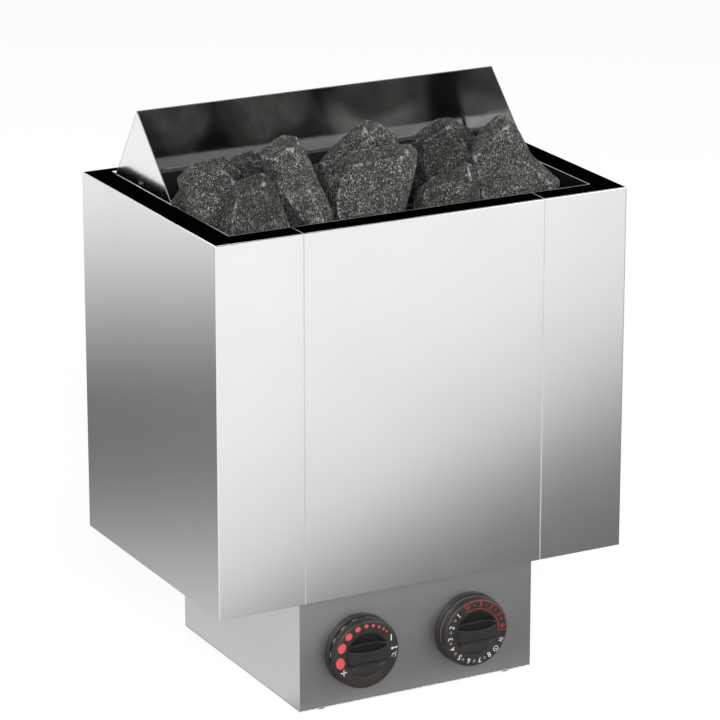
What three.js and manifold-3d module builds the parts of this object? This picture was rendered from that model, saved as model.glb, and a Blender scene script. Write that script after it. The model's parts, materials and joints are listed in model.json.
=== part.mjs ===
// Wall-hung electric sauna heater with a stone basket, a heat deflector and a control box.
// Millimetres, +X to the right seen from the front, +Y to the wall, +Z up.
// The origin is the middle of the bottom of the whole object.
import * as THREE from 'three';
import { mergeVertices } from 'three/addons/utils/BufferGeometryUtils.js';
import Module from 'manifold-3d';

const wasm = await Module();
wasm.setup();

// Casing
const CASING_WIDTH = 410;
const CASING_DEPTH = 275;
const CASING_HEIGHT = 341;
const SHEET = 1;
const RIM_WIDTH = 22.8;
const RIM_LIP = 10;
const SEAM_GAP = 0.8;
const RETURN_DEPTH = 12;
const FOOT_FLANGE = 12;
const BACK_RETURN = 14;
const FIT_GAP = 0.3;

// Control box under the casing
const BOX_WIDTH = 238;
const BOX_HEIGHT = 108.5;
const BOX_SETBACK = 13.8;
const BOX_BACK_SETBACK = 23.2;
const BOX_IN_FROM_SEAM = 1;
const BOX_FLANGE = 14;
const SCREW_HEAD_HEIGHT = 2.2;
const SCREW_HEAD_RADIUS = 4;
const SCREW_SHANK_RADIUS = 2;
const SCREW_INSET_X = 24;
const SCREW_INSET_Y = 7;

// Deflector hood that leans over the back of the stones, measured from the back of the casing
const HOOD_HEIGHT = 70;
const HOOD_FRONT_FOOT = 141.4;
const HOOD_RIDGE = 70.1;
const HOOD_BACK_FOOT = 23.4;
const HOOD_FOOT_FLANGE = 9;
const HOOD_TUCK = 12;
const HOOD_SEAT_GAP = 0.05;
const HOOD_SCREW_IN = 75.8;
const HOOD_SCREW_RISE = 4.5;

// Dials on the front of the control box
const DIAL_RISE = 50.9;
const THERMOSTAT_X = -60;
const TIMER_X = 52.4;
const BEZEL_RADIUS = 34;
const BEZEL_THICKNESS = 6;
const KNOB_GAP = 0.5;
const SKIRT_RADIUS = 33.2;
const SKIRT_NECK_RADIUS = 32;
const SKIRT_NECK_END = 9.5;
const SKIRT_WALL_END = 14;
const SKIRT_ROUND = 4;
const SKIRT_FACE = 17.2;
const GRIP_RADIUS = 21.6;
const GRIP_GROOVE = 0.7;
const KNOB_REACH = 24;
const DISH_RADIUS = 21;
const DISH_DEPTH = 5.2;
const BAR_HALF_LENGTH = 20.4;
const BAR_HALF_FACE = 3.2;
const BAR_HALF_WAIST = 6.6;
const BAR_HALF_FOOT = 9.6;
const BAR_EDGE = 0.8;
const SHAFT_RADIUS = 3;
const SHAFT_IN_KNOB = 9;
const SHAFT_IN_BODY = 14;
const BUSH_RADIUS = 5;

// Stones, grate and heating elements
const GRATE_DROP = 125;
const LAYER_DROP = 40;
const GRATE_THICKNESS = 2;
const ELEMENT_RADIUS = 4.1;
const ELEMENT_SLOT = 10;
const ELEMENT_X = 61;
const ELEMENT_HALF_SPAN = 55;
const MIDDLE_HALF_SPAN = 30;
const ELEMENT_RISE = 62;
const BACK_AIR_GAP = 10;

// Levels and faces that follow from the sizes above
const BOX_FLOOR = SCREW_HEAD_HEIGHT;
const CASING_FLOOR = BOX_FLOOR + BOX_HEIGHT;
const RIM_TOP = CASING_FLOOR + CASING_HEIGHT;
const FRONT = -(CASING_DEPTH + BOX_SETBACK - KNOB_REACH) / 2;
const BACK = FRONT + CASING_DEPTH;
const HALF_WIDTH = CASING_WIDTH / 2;
const RIM_X = HALF_WIDTH - RIM_WIDTH;
const RIM_FRONT = FRONT + RIM_WIDTH;
const RIM_BACK = BACK - RIM_WIDTH;
const BOX_X = BOX_WIDTH / 2;
const SEAM_X = BOX_X + BOX_IN_FROM_SEAM;
const BOX_FRONT = FRONT + BOX_SETBACK;
const BOX_BACK = BACK - BOX_BACK_SETBACK;
const PLATE_BOTTOM = CASING_FLOOR + SHEET + FIT_GAP;
const PLATE_TOP = PLATE_BOTTOM + SHEET;
const BOX_TOP = PLATE_BOTTOM - FIT_GAP;
const SHELL_BOTTOM = BOX_FLOOR + SHEET + FIT_GAP;
const HOOD_X = RIM_X - FIT_GAP;
const LINER_X = HOOD_X - SHEET - FIT_GAP;
const LINER_IN_X = LINER_X - SHEET;
const LINER_FRONT = RIM_FRONT + FIT_GAP;
const LINER_IN_FRONT = LINER_FRONT + SHEET;
const LINER_BACK = RIM_BACK - BACK_AIR_GAP;
const LINER_IN_BACK = LINER_BACK - SHEET;
const MIDDLE_Y = (LINER_IN_FRONT + LINER_IN_BACK) / 2;
const GRATE_TOP = RIM_TOP - GRATE_DROP;
const LAYER_LEVEL = RIM_TOP - LAYER_DROP;
const DIAL_Z = BOX_FLOOR + DIAL_RISE;

const group = new THREE.Group();

const STEEL = { color: 0xc9cacb, roughness: 0.32, metalness: 1 };
const POLISHED = { color: 0x9a9b9d, roughness: 0.2, metalness: 1 };
const GALVANISED = { color: 0x9b9fa3, roughness: 0.5, metalness: 1 };
const BLACK_PLASTIC = { color: 0x221f20, roughness: 0.45, metalness: 0 };
const STONE = { color: 0x464845, roughness: 0.9, metalness: 0 };
const ELEMENT = { color: 0x4d4a47, roughness: 0.55, metalness: 1 };
const PALE_PLASTIC = { color: 0xd8d6cf, roughness: 0.5, metalness: 0 };
const COPPER = { color: 0xb06a43, roughness: 0.4, metalness: 1 };
const RED_PLASTIC = { color: 0xb03028, roughness: 0.4, metalness: 0 };

// A closed three.js geometry as a solid that can be joined and cut.
function toSolid(geometry) {
  const plain = geometry.clone();
  plain.deleteAttribute('normal');
  plain.deleteAttribute('uv');
  const merged = mergeVertices(plain, 1e-4);
  const corners = merged.index.array;
  const kept = [];
  for (let i = 0; i < corners.length; i += 3) {
    const [a, b, c] = [corners[i], corners[i + 1], corners[i + 2]];
    if (a !== b && b !== c && c !== a) kept.push(a, b, c);
  }
  return new wasm.Manifold(new wasm.Mesh({
    numProp: 3,
    vertProperties: new Float32Array(merged.attributes.position.array),
    triVerts: new Uint32Array(kept),
  }));
}

function toGeometry(solid) {
  const mesh = solid.getMesh();
  const geometry = new THREE.BufferGeometry();
  geometry.setAttribute('position', new THREE.BufferAttribute(mesh.vertProperties, 3));
  geometry.setIndex(new THREE.BufferAttribute(mesh.triVerts, 1));
  geometry.computeVertexNormals();
  return geometry;
}

// Adds a named piece to a group, with its own origin at the given place in that group.
function addPiece(name, solid, look, place = [0, 0, 0], holder = group) {
  const mesh = new THREE.Mesh(toGeometry(solid), new THREE.MeshStandardMaterial(look));
  mesh.name = name;
  mesh.position.set(...place);
  holder.add(mesh);
}

function joined(solids) {
  return solids.reduce((whole, next) => whole.add(next));
}

function cutBy(solid, tools) {
  return tools.reduce((whole, next) => whole.subtract(next), solid);
}

// A box between two opposite corners, given in any order.
function block(x0, x1, y0, y1, z0, z1) {
  const geometry = new THREE.BoxGeometry(Math.abs(x1 - x0), Math.abs(y1 - y0), Math.abs(z1 - z0));
  geometry.translate((x0 + x1) / 2, (y0 + y1) / 2, (z0 + z1) / 2);
  return toSolid(geometry);
}

// Round bars along each axis.
function barX(radius, x0, x1, y, z, sides = 20) {
  const geometry = new THREE.CylinderGeometry(radius, radius, Math.abs(x1 - x0), sides);
  geometry.rotateZ(Math.PI / 2);
  geometry.translate((x0 + x1) / 2, y, z);
  return toSolid(geometry);
}

function barY(radius, x, y0, y1, z, sides = 24) {
  const geometry = new THREE.CylinderGeometry(radius, radius, Math.abs(y1 - y0), sides);
  geometry.translate(x, (y0 + y1) / 2, z);
  return toSolid(geometry);
}

function barZ(radius, x, y, z0, z1, sides = 20) {
  const geometry = new THREE.CylinderGeometry(radius, radius, Math.abs(z1 - z0), sides);
  geometry.rotateX(Math.PI / 2);
  geometry.translate(x, y, (z0 + z1) / 2);
  return toSolid(geometry);
}

// A plate with the given outline in y and z, from one x to another.
function plateAcross(outline, x0, x1) {
  const shape = new THREE.Shape(outline.map(([y, z]) => new THREE.Vector2(y, z)));
  const depth = Math.abs(x1 - x0);
  const geometry = new THREE.ExtrudeGeometry(shape, { depth, bevelEnabled: false });
  geometry.rotateY(Math.PI / 2);
  geometry.rotateX(Math.PI / 2);
  geometry.translate(Math.min(x0, x1), 0, 0);
  return toSolid(geometry);
}

// A body turned about the y axis. The profile lists radius and distance in front of the axis origin.
function turned(profile, sides) {
  const points = profile.map(([radius, reach]) => new THREE.Vector2(radius, -reach)).reverse();
  return toSolid(new THREE.LatheGeometry(points, sides));
}

// A round tube along straight runs with rounded corners.
function tube(points, bend, radius, sides, steps) {
  const path = new THREE.CurvePath();
  const corners = points.map((point) => new THREE.Vector3(...point));
  let start = corners[0];
  for (let i = 1; i < corners.length - 1; i += 1) {
    const before = corners[i - 1].clone().sub(corners[i]).setLength(bend).add(corners[i]);
    const after = corners[i + 1].clone().sub(corners[i]).setLength(bend).add(corners[i]);
    path.add(new THREE.LineCurve3(start, before));
    path.add(new THREE.QuadraticBezierCurve3(before, corners[i], after));
    start = after;
  }
  path.add(new THREE.LineCurve3(start, corners[corners.length - 1]));
  const shape = new THREE.Shape();
  shape.absarc(0, 0, radius, 0, 2 * Math.PI);
  const options = { steps, curveSegments: sides, extrudePath: path, bevelEnabled: false };
  return toSolid(new THREE.ExtrudeGeometry(shape, options));
}

// The outline of a folded sheet that follows the given corners on its outer side.
function foldedOutline(corners, thickness) {
  const inner = corners.map((corner, i) => {
    const here = new THREE.Vector2(...corner);
    const sides = [];
    if (i > 0) sides.push(here.clone().sub(new THREE.Vector2(...corners[i - 1])).normalize());
    if (i < corners.length - 1) {
      sides.push(new THREE.Vector2(...corners[i + 1]).sub(here).normalize());
    }
    const inward = sides.map((along) => new THREE.Vector2(along.y, -along.x));
    const middle = inward.reduce((sum, next) => sum.clone().add(next)).normalize();
    const offset = middle.multiplyScalar(thickness / middle.dot(inward[0]));
    return [here.x + offset.x, here.y + offset.y];
  });
  return [...corners, ...inner.reverse()];
}

// Casing: two side panels that wrap round the front corners, and a front panel between them.
function sidePanel(side) {
  const outer = side * HALF_WIDTH;
  const wall = outer - side * SHEET;
  const seam = side * (SEAM_X + SEAM_GAP / 2);
  const rim = side * RIM_X;
  const flange = outer - side * FOOT_FLANGE;
  return joined([
    block(outer, wall, FRONT, BACK, CASING_FLOOR, RIM_TOP),
    block(outer, seam, FRONT, FRONT + SHEET, CASING_FLOOR, RIM_TOP),
    block(seam + side * SHEET, seam, FRONT, FRONT + RETURN_DEPTH, PLATE_TOP + FIT_GAP, RIM_TOP),
    block(outer, rim, FRONT, BACK, RIM_TOP - SHEET, RIM_TOP),
    block(outer, seam, FRONT, RIM_FRONT, RIM_TOP - SHEET, RIM_TOP),
    block(rim + side * SHEET, rim, RIM_FRONT - SHEET, RIM_BACK - FIT_GAP, RIM_TOP - RIM_LIP, RIM_TOP),
    block(rim + side * SHEET, seam, RIM_FRONT - SHEET, RIM_FRONT, RIM_TOP - RIM_LIP, RIM_TOP),
    block(outer, flange, FRONT, RIM_BACK, CASING_FLOOR, CASING_FLOOR + SHEET),
    block(outer, seam, FRONT, FRONT + FOOT_FLANGE, CASING_FLOOR, CASING_FLOOR + SHEET),
    block(outer, outer - side * BACK_RETURN, BACK - SHEET, BACK, CASING_FLOOR, RIM_TOP),
  ]);
}
addPiece('left_side_panel', sidePanel(-1), STEEL);
addPiece('right_side_panel', sidePanel(1), STEEL);

const frontEdge = SEAM_X - SEAM_GAP / 2;
addPiece('front_panel', joined([
  block(-frontEdge, frontEdge, FRONT, FRONT + SHEET, CASING_FLOOR, RIM_TOP),
  block(-frontEdge, SHEET - frontEdge, FRONT, FRONT + RETURN_DEPTH, PLATE_TOP + FIT_GAP, RIM_TOP),
  block(frontEdge - SHEET, frontEdge, FRONT, FRONT + RETURN_DEPTH, PLATE_TOP + FIT_GAP, RIM_TOP),
  block(-frontEdge, frontEdge, FRONT, RIM_FRONT, RIM_TOP - SHEET, RIM_TOP),
  block(-frontEdge, frontEdge, RIM_FRONT - SHEET, RIM_FRONT, RIM_TOP - RIM_LIP, RIM_TOP),
  block(-frontEdge, frontEdge, FRONT, FRONT + FOOT_FLANGE, CASING_FLOOR, CASING_FLOOR + SHEET),
]), STEEL);

// Back panel, set in from the wall, with two openings for the hooks of the wall bracket.
const HOOK_X = 90;
const HOOK_WIDTH = 20;
const HOOK_THICKNESS = 3;
const HOOK_TAB = 12;
const HOOK_TOP = RIM_TOP - 75;
const backX = HALF_WIDTH - SHEET - FIT_GAP;
const backTop = RIM_TOP - SHEET - FIT_GAP;
const backRimX = RIM_X - FIT_GAP;
const hookSlots = [-1, 1].map((side) => block(
  side * HOOK_X - HOOK_WIDTH / 2 - 1, side * HOOK_X + HOOK_WIDTH / 2 + 1,
  RIM_BACK - 5, RIM_BACK + 5, HOOK_TOP + FIT_GAP - HOOK_TAB - HOOK_THICKNESS - 3, HOOK_TOP + FIT_GAP,
));
addPiece('back_panel', cutBy(joined([
  block(-backX, backX, RIM_BACK, RIM_BACK + SHEET, PLATE_BOTTOM, backTop),
  block(-backRimX, backRimX, RIM_BACK, RIM_BACK + SHEET, PLATE_BOTTOM, RIM_TOP),
  block(-backRimX, backRimX, RIM_BACK, BACK, RIM_TOP - SHEET, RIM_TOP),
  block(-backX, SHEET - backX, RIM_BACK, BACK - SHEET - FIT_GAP, PLATE_BOTTOM, backTop),
  block(backX - SHEET, backX, RIM_BACK, BACK - SHEET - FIT_GAP, PLATE_BOTTOM, backTop),
]), hookSlots), GALVANISED);

// Wall bracket with two hooks that carry the back panel.
const BRACKET_PLATE = 2;
const BRACKET_HALF_WIDTH = 130;
const BRACKET_HOLE_RADIUS = 3;
const bracketParts = [
  block(-BRACKET_HALF_WIDTH, BRACKET_HALF_WIDTH, BACK - BRACKET_PLATE, BACK, HOOK_TOP - 55, HOOK_TOP),
];
for (const side of [-1, 1]) {
  const [x0, x1] = [side * HOOK_X - HOOK_WIDTH / 2, side * HOOK_X + HOOK_WIDTH / 2];
  const tabBack = RIM_BACK - FIT_GAP;
  bracketParts.push(block(x0, x1, tabBack - BRACKET_PLATE, BACK, HOOK_TOP - HOOK_THICKNESS, HOOK_TOP));
  bracketParts.push(block(
    x0, x1, tabBack - BRACKET_PLATE, tabBack, HOOK_TOP - HOOK_THICKNESS, HOOK_TOP + HOOK_TAB,
  ));
}
const bracketHoles = [];
for (const x of [-HOOK_X, -HOOK_X / 3, HOOK_X / 3, HOOK_X]) {
  bracketHoles.push(barY(BRACKET_HOLE_RADIUS, x, BACK - 5, BACK + 5, HOOK_TOP - 35, 12));
}
addPiece('wall_bracket', cutBy(joined(bracketParts), bracketHoles), GALVANISED);

// Heating elements: two across the depth and one between the two rows of lower stones.
const elementTop = GRATE_TOP + ELEMENT_RISE;
const ELEMENT_COLLAR_RADIUS = 8;
const ELEMENT_COLLAR = 5;
const PIN_RADIUS = 2;
const PIN_LENGTH = 10;
const elements = [
  { x0: -ELEMENT_X, x1: -ELEMENT_X, y0: MIDDLE_Y - ELEMENT_HALF_SPAN, y1: MIDDLE_Y + ELEMENT_HALF_SPAN },
  { x0: -MIDDLE_HALF_SPAN, x1: MIDDLE_HALF_SPAN, y0: MIDDLE_Y, y1: MIDDLE_Y },
  { x0: ELEMENT_X, x1: ELEMENT_X, y0: MIDDLE_Y - ELEMENT_HALF_SPAN, y1: MIDDLE_Y + ELEMENT_HALF_SPAN },
];
const elementFeet = [];
elements.forEach(({ x0, x1, y0, y1 }, i) => {
  const low = PLATE_BOTTOM - FIT_GAP - ELEMENT_COLLAR;
  const parts = [tube(
    [[x0, y0, low], [x0, y0, elementTop], [x1, y1, elementTop], [x1, y1, low]],
    26, ELEMENT_RADIUS, 4, 24,
  )];
  for (const [x, y] of [[x0, y0], [x1, y1]]) {
    elementFeet.push([x, y]);
    parts.push(barZ(ELEMENT_COLLAR_RADIUS, x, y, PLATE_TOP + FIT_GAP, PLATE_TOP + ELEMENT_COLLAR, 12));
    parts.push(barZ(ELEMENT_COLLAR_RADIUS, x, y, low, PLATE_BOTTOM - FIT_GAP, 6));
    parts.push(barZ(PIN_RADIUS, x, y, low - PIN_LENGTH, low + 1, 8));
  }
  addPiece(`heating_element_${i + 1}`, joined(parts), ELEMENT);
});

// Base plate of the casing, with air slots outside the control box.
const CAPILLARY_RADIUS = 1.2;
const capillaryY = RIM_BACK - 4.6;
const plateHoles = elementFeet.map(([x, y]) => barZ(
  ELEMENT_RADIUS + 0.5, x, y, PLATE_BOTTOM - 5, PLATE_TOP + 5, 12,
));
plateHoles.push(barZ(
  CAPILLARY_RADIUS + FIT_GAP, THERMOSTAT_X, capillaryY, PLATE_BOTTOM - 5, PLATE_TOP + 5, 12,
));
const SLOT_LENGTH = 34;
for (let row = 0; row < 5; row += 1) {
  const y0 = FRONT + 22 + row * (SLOT_LENGTH + 12);
  for (const side of [-1, 1]) {
    for (const [near, far] of [[128, 144], [156, 172]]) {
      plateHoles.push(block(side * near, side * far, y0, y0 + SLOT_LENGTH, PLATE_BOTTOM - 5, PLATE_TOP + 5));
    }
  }
}
addPiece('base_plate', cutBy(block(
  -backX, backX, FRONT + SHEET + FIT_GAP, RIM_BACK - FIT_GAP, PLATE_BOTTOM, PLATE_TOP,
), plateHoles), GALVANISED);

// Liner of the stone space: four sheets inside the rim. The side sheets carry tabs for the hood screws,
// and the back sheet has a ledge that reaches to the rim.
const linerLow = PLATE_TOP + FIT_GAP;
const hoodScrewY = BACK - HOOD_SCREW_IN;
const hoodScrewZ = RIM_TOP + HOOD_SCREW_RISE;
const HOOD_SCREW_RADIUS = 1.5;
function sideLiner(side) {
  const hole = barX(
    HOOD_SCREW_RADIUS + FIT_GAP, side * (LINER_IN_X - 5), side * (LINER_X + 5), hoodScrewY, hoodScrewZ, 12,
  );
  return cutBy(joined([
    block(side * LINER_X, side * LINER_IN_X, LINER_FRONT, RIM_BACK - FIT_GAP, linerLow, RIM_TOP),
    block(side * LINER_X, side * LINER_IN_X, hoodScrewY - 10, hoodScrewY + 10, RIM_TOP - 1, hoodScrewZ + 5),
  ]), [hole]);
}
const linerFitX = LINER_IN_X - FIT_GAP;
addPiece('liner_left', sideLiner(-1), STEEL);
addPiece('liner_right', sideLiner(1), STEEL);
addPiece('liner_front', block(
  -linerFitX, linerFitX, LINER_FRONT, LINER_IN_FRONT, linerLow, RIM_TOP,
), STEEL);
addPiece('liner_back', joined([
  block(-linerFitX, linerFitX, LINER_IN_BACK, LINER_BACK, linerLow, RIM_TOP - SHEET),
  block(-linerFitX, linerFitX, LINER_IN_BACK, RIM_BACK - FIT_GAP, RIM_TOP - 2 * SHEET, RIM_TOP - SHEET),
]), STEEL);

// Grate under the stones, on four posts.
const grateFront = LINER_IN_FRONT + FIT_GAP;
const grateBack = LINER_IN_BACK - FIT_GAP;
const POST = 10;
const grateParts = [
  block(-linerFitX, linerFitX, grateFront, grateBack, GRATE_TOP - GRATE_THICKNESS, GRATE_TOP),
];
for (const side of [-1, 1]) {
  for (const [y0, y1] of [[grateFront, grateFront + POST], [grateBack - POST, grateBack]]) {
    const inner = side * (linerFitX - POST);
    grateParts.push(block(side * linerFitX, inner, y0, y1, linerLow, GRATE_TOP - 1));
  }
}
const grateCuts = [-1, 1].map((side) => barZ(
  ELEMENT_RADIUS + 1, side * MIDDLE_HALF_SPAN, MIDDLE_Y, GRATE_TOP - 9, GRATE_TOP + 9, 16,
));
const GRATE_PITCH = 2 * ELEMENT_X / 3;
for (let column = -3.5; column < 4; column += 1) {
  const x = column * GRATE_PITCH;
  for (const side of [-1, 1]) {
    grateCuts.push(block(
      x - 12, x + 12, MIDDLE_Y + side * 14, MIDDLE_Y + side * 92, GRATE_TOP - 9, GRATE_TOP + 9,
    ));
  }
}
addPiece('stone_grate', cutBy(joined(grateParts), grateCuts), POLISHED);

// Deflector hood: a sheet that leans forward from the rim, open to the front, on two end plates
// that are tucked in beside the liner.
const slope = HOOD_HEIGHT / (HOOD_FRONT_FOOT - HOOD_RIDGE);
const footRise = FIT_GAP + SHEET;
const hoodLine = [
  [BACK - HOOD_RIDGE, RIM_TOP + HOOD_HEIGHT],
  [BACK - HOOD_BACK_FOOT, RIM_TOP + footRise],
  [BACK - HOOD_BACK_FOOT + HOOD_FOOT_FLANGE, RIM_TOP + footRise],
];
addPiece('deflector_hood', plateAcross(foldedOutline(hoodLine, SHEET), -HOOD_X, HOOD_X), POLISHED);

const endInset = SHEET + HOOD_SEAT_GAP;
const backRun = HOOD_RIDGE - HOOD_BACK_FOOT;
const backInset = endInset * Math.hypot(backRun, HOOD_HEIGHT - footRise) / (HOOD_HEIGHT - footRise);
const footFront = BACK - HOOD_FRONT_FOOT;
const footBack = BACK - HOOD_BACK_FOOT - backInset;
const backSlope = (HOOD_HEIGHT - footRise) / backRun;
const apexY = (footFront * slope + footBack * backSlope + footRise) / (slope + backSlope);
const apexZ = RIM_TOP + slope * (apexY - footFront);
const endOutline = [
  [footFront, RIM_TOP],
  [apexY, apexZ],
  [footBack, RIM_TOP + footRise],
  [footBack, RIM_TOP - HOOD_TUCK],
  [footFront + HOOD_TUCK / 2, RIM_TOP - HOOD_TUCK],
];
for (const [name, side] of [['left', -1], ['right', 1]]) {
  const hole = barX(
    HOOD_SCREW_RADIUS + FIT_GAP, side * (HOOD_X - 5), side * (HOOD_X + 5), hoodScrewY, hoodScrewZ, 12,
  );
  const plate = plateAcross(endOutline, side * HOOD_X, side * (HOOD_X - SHEET));
  addPiece(`deflector_${name}_end`, cutBy(plate, [hole]), STEEL);
  addPiece(`deflector_${name}_screw`, joined([
    barX(2.4, side * (HOOD_X + FIT_GAP), side * (HOOD_X + FIT_GAP + 1.4), hoodScrewY, hoodScrewZ, 16),
    barX(HOOD_SCREW_RADIUS, side * (LINER_IN_X - 3), side * (HOOD_X + 1), hoodScrewY, hoodScrewZ, 12),
  ]), STEEL);
}

// Control box: a folded shell, a back sheet and a bottom cover held by four screws.
const screwX = BOX_X - SCREW_INSET_X;
const screwRows = [BOX_FRONT + SCREW_INSET_Y, BOX_BACK - SCREW_INSET_Y];
const screwPlaces = [];
for (const y of screwRows) screwPlaces.push([-screwX, y], [screwX, y]);
const screwHoles = screwPlaces.map(([x, y]) => barZ(
  SCREW_SHANK_RADIUS + FIT_GAP, x, y, BOX_FLOOR - 5, SHELL_BOTTOM + 5, 10,
));
const dialHoles = [THERMOSTAT_X, TIMER_X].map((x) => barY(
  BUSH_RADIUS + FIT_GAP, x, BOX_FRONT - 5, BOX_FRONT + 5, DIAL_Z, 24,
));
const shellParts = [
  block(-BOX_X, BOX_X, BOX_FRONT, BOX_FRONT + SHEET, SHELL_BOTTOM, BOX_TOP),
  block(-BOX_X, BOX_X, BOX_FRONT, BOX_FRONT + BOX_FLANGE, SHELL_BOTTOM, SHELL_BOTTOM + SHEET),
  block(-BOX_X, BOX_X, BOX_FRONT, BOX_FRONT + BOX_FLANGE, BOX_TOP - SHEET, BOX_TOP),
];
for (const side of [-1, 1]) {
  const [outer, inner] = [side * BOX_X, side * (BOX_X - SHEET)];
  const flange = side * (BOX_X - BOX_FLANGE);
  shellParts.push(block(outer, inner, BOX_FRONT, BOX_BACK, SHELL_BOTTOM, BOX_TOP));
  shellParts.push(block(outer, flange, BOX_FRONT, BOX_BACK, SHELL_BOTTOM, SHELL_BOTTOM + SHEET));
  shellParts.push(block(outer, flange, BOX_FRONT, BOX_BACK, BOX_TOP - SHEET, BOX_TOP));
}
addPiece('box_shell', cutBy(joined(shellParts), [...screwHoles, ...dialHoles]), STEEL);

const GLAND_X = 70;
const GLAND_Z = BOX_FLOOR + 30;
const GLAND_RADIUS = 9;
const rearX = BOX_X - SHEET - FIT_GAP;
const rearFlangeX = BOX_X - BOX_FLANGE - FIT_GAP;
const rearLow = SHELL_BOTTOM + SHEET + FIT_GAP;
const rearHigh = BOX_TOP - SHEET - FIT_GAP;
addPiece('box_back', cutBy(joined([
  block(-rearX, rearX, BOX_BACK - SHEET, BOX_BACK, rearLow, rearHigh),
  block(-rearFlangeX, rearFlangeX, BOX_BACK - SHEET, BOX_BACK, SHELL_BOTTOM, rearHigh),
  block(-rearFlangeX, rearFlangeX, BOX_BACK - BOX_FLANGE, BOX_BACK, SHELL_BOTTOM, SHELL_BOTTOM + SHEET),
]), [...screwHoles, barY(GLAND_RADIUS + FIT_GAP, GLAND_X, BOX_BACK - 5, BOX_BACK + 5, GLAND_Z, 24)]), STEEL);

const RESET_X = 0;
const RESET_Y = BOX_FRONT + 70;
const RESET_RADIUS = 3.5;
const RESET_TRAVEL = 2;
const coverCuts = [...screwHoles];
coverCuts.push(barZ(RESET_RADIUS + FIT_GAP, RESET_X, RESET_Y, BOX_FLOOR - 5, BOX_FLOOR + 5, 20));
for (let i = 0; i < 4; i += 1) {
  const y0 = BOX_FRONT + 120 + i * 18;
  for (const side of [-1, 1]) {
    coverCuts.push(block(side * 20, side * 80, y0, y0 + 5, BOX_FLOOR - 5, BOX_FLOOR + 5));
  }
}
addPiece('box_bottom', cutBy(block(
  -BOX_X, BOX_X, BOX_FRONT, BOX_BACK, BOX_FLOOR, BOX_FLOOR + SHEET,
), coverCuts), STEEL);
screwPlaces.forEach(([x, y], i) => addPiece(`box_screw_${i + 1}`, joined([
  barZ(SCREW_HEAD_RADIUS, 0, 0, 0, BOX_FLOOR - FIT_GAP, 16),
  barZ(SCREW_SHANK_RADIUS, 0, 0, 1, SHELL_BOTTOM + SHEET + 3, 10),
]), STEEL, [x, y, 0]));

// Dials. Each group has its origin on the dial's axis, at the front face of the control box.
// The knob turns with its shaft in front of a fixed bezel.
function bezel() {
  return turned([
    [BUSH_RADIUS + 1, FIT_GAP],
    [BEZEL_RADIUS, FIT_GAP],
    [BEZEL_RADIUS, BEZEL_THICKNESS - 1],
    [BEZEL_RADIUS - 1, BEZEL_THICKNESS],
    [BUSH_RADIUS + 1, BEZEL_THICKNESS],
    [BUSH_RADIUS + 1, FIT_GAP],
  ], 40);
}

// The skirt's wall turns into its face round a quarter of an ellipse. A groove runs round a dish in the face,
// and a bar to turn the knob by stands across the dish, with hollow flanks.
function knob() {
  const rear = BEZEL_THICKNESS + KNOB_GAP;
  const dishFloor = SKIRT_FACE - DISH_DEPTH;
  const skirtEdge = [...Array(7).keys()].map((i) => {
    const turn = i * Math.PI / 12;
    return [
      SKIRT_RADIUS - SKIRT_ROUND + SKIRT_ROUND * Math.cos(turn),
      SKIRT_WALL_END + (SKIRT_FACE - SKIRT_WALL_END) * Math.sin(turn),
    ];
  });
  const body = turned([
    [0, rear],
    [SKIRT_NECK_RADIUS, rear],
    [SKIRT_NECK_RADIUS, SKIRT_NECK_END],
    [SKIRT_RADIUS, SKIRT_NECK_END],
    ...skirtEdge,
    [GRIP_RADIUS + GRIP_GROOVE, SKIRT_FACE],
    [GRIP_RADIUS, SKIRT_FACE - GRIP_GROOVE],
    [GRIP_RADIUS - GRIP_GROOVE / 2, SKIRT_FACE],
    [0, SKIRT_FACE],
  ], 48);
  const dish = new THREE.SphereGeometry(1, 32, 20);
  dish.scale(DISH_RADIUS, DISH_DEPTH, DISH_RADIUS);
  dish.translate(0, -SKIRT_FACE, 0);
  const flank = [
    [BAR_HALF_FOOT, dishFloor - 1],
    [BAR_HALF_FOOT, dishFloor],
    [BAR_HALF_WAIST, SKIRT_FACE],
    [BAR_HALF_FACE + BAR_EDGE, KNOB_REACH - BAR_EDGE],
    [BAR_HALF_FACE, KNOB_REACH],
  ];
  const upper = flank.map(([rise, reach]) => [-reach, rise]);
  const lower = flank.map(([rise, reach]) => [-reach, -rise]).reverse();
  const ends = barY(BAR_HALF_LENGTH, 0, -2 * KNOB_REACH, 0, 0, 48);
  const bar = plateAcross([...upper, ...lower], -GRIP_RADIUS, GRIP_RADIUS).intersect(ends);
  const bore = barY(SHAFT_RADIUS + FIT_GAP, 0, -rear - SHAFT_IN_KNOB, 0, 0, 24);
  return cutBy(joined([cutBy(body, [toSolid(dish)]), bar]), [bore]);
}

function shaft() {
  const tip = BEZEL_THICKNESS + KNOB_GAP + SHAFT_IN_KNOB - FIT_GAP;
  return barY(SHAFT_RADIUS, 0, -tip, SHAFT_IN_BODY - FIT_GAP, 0, 20);
}

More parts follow.
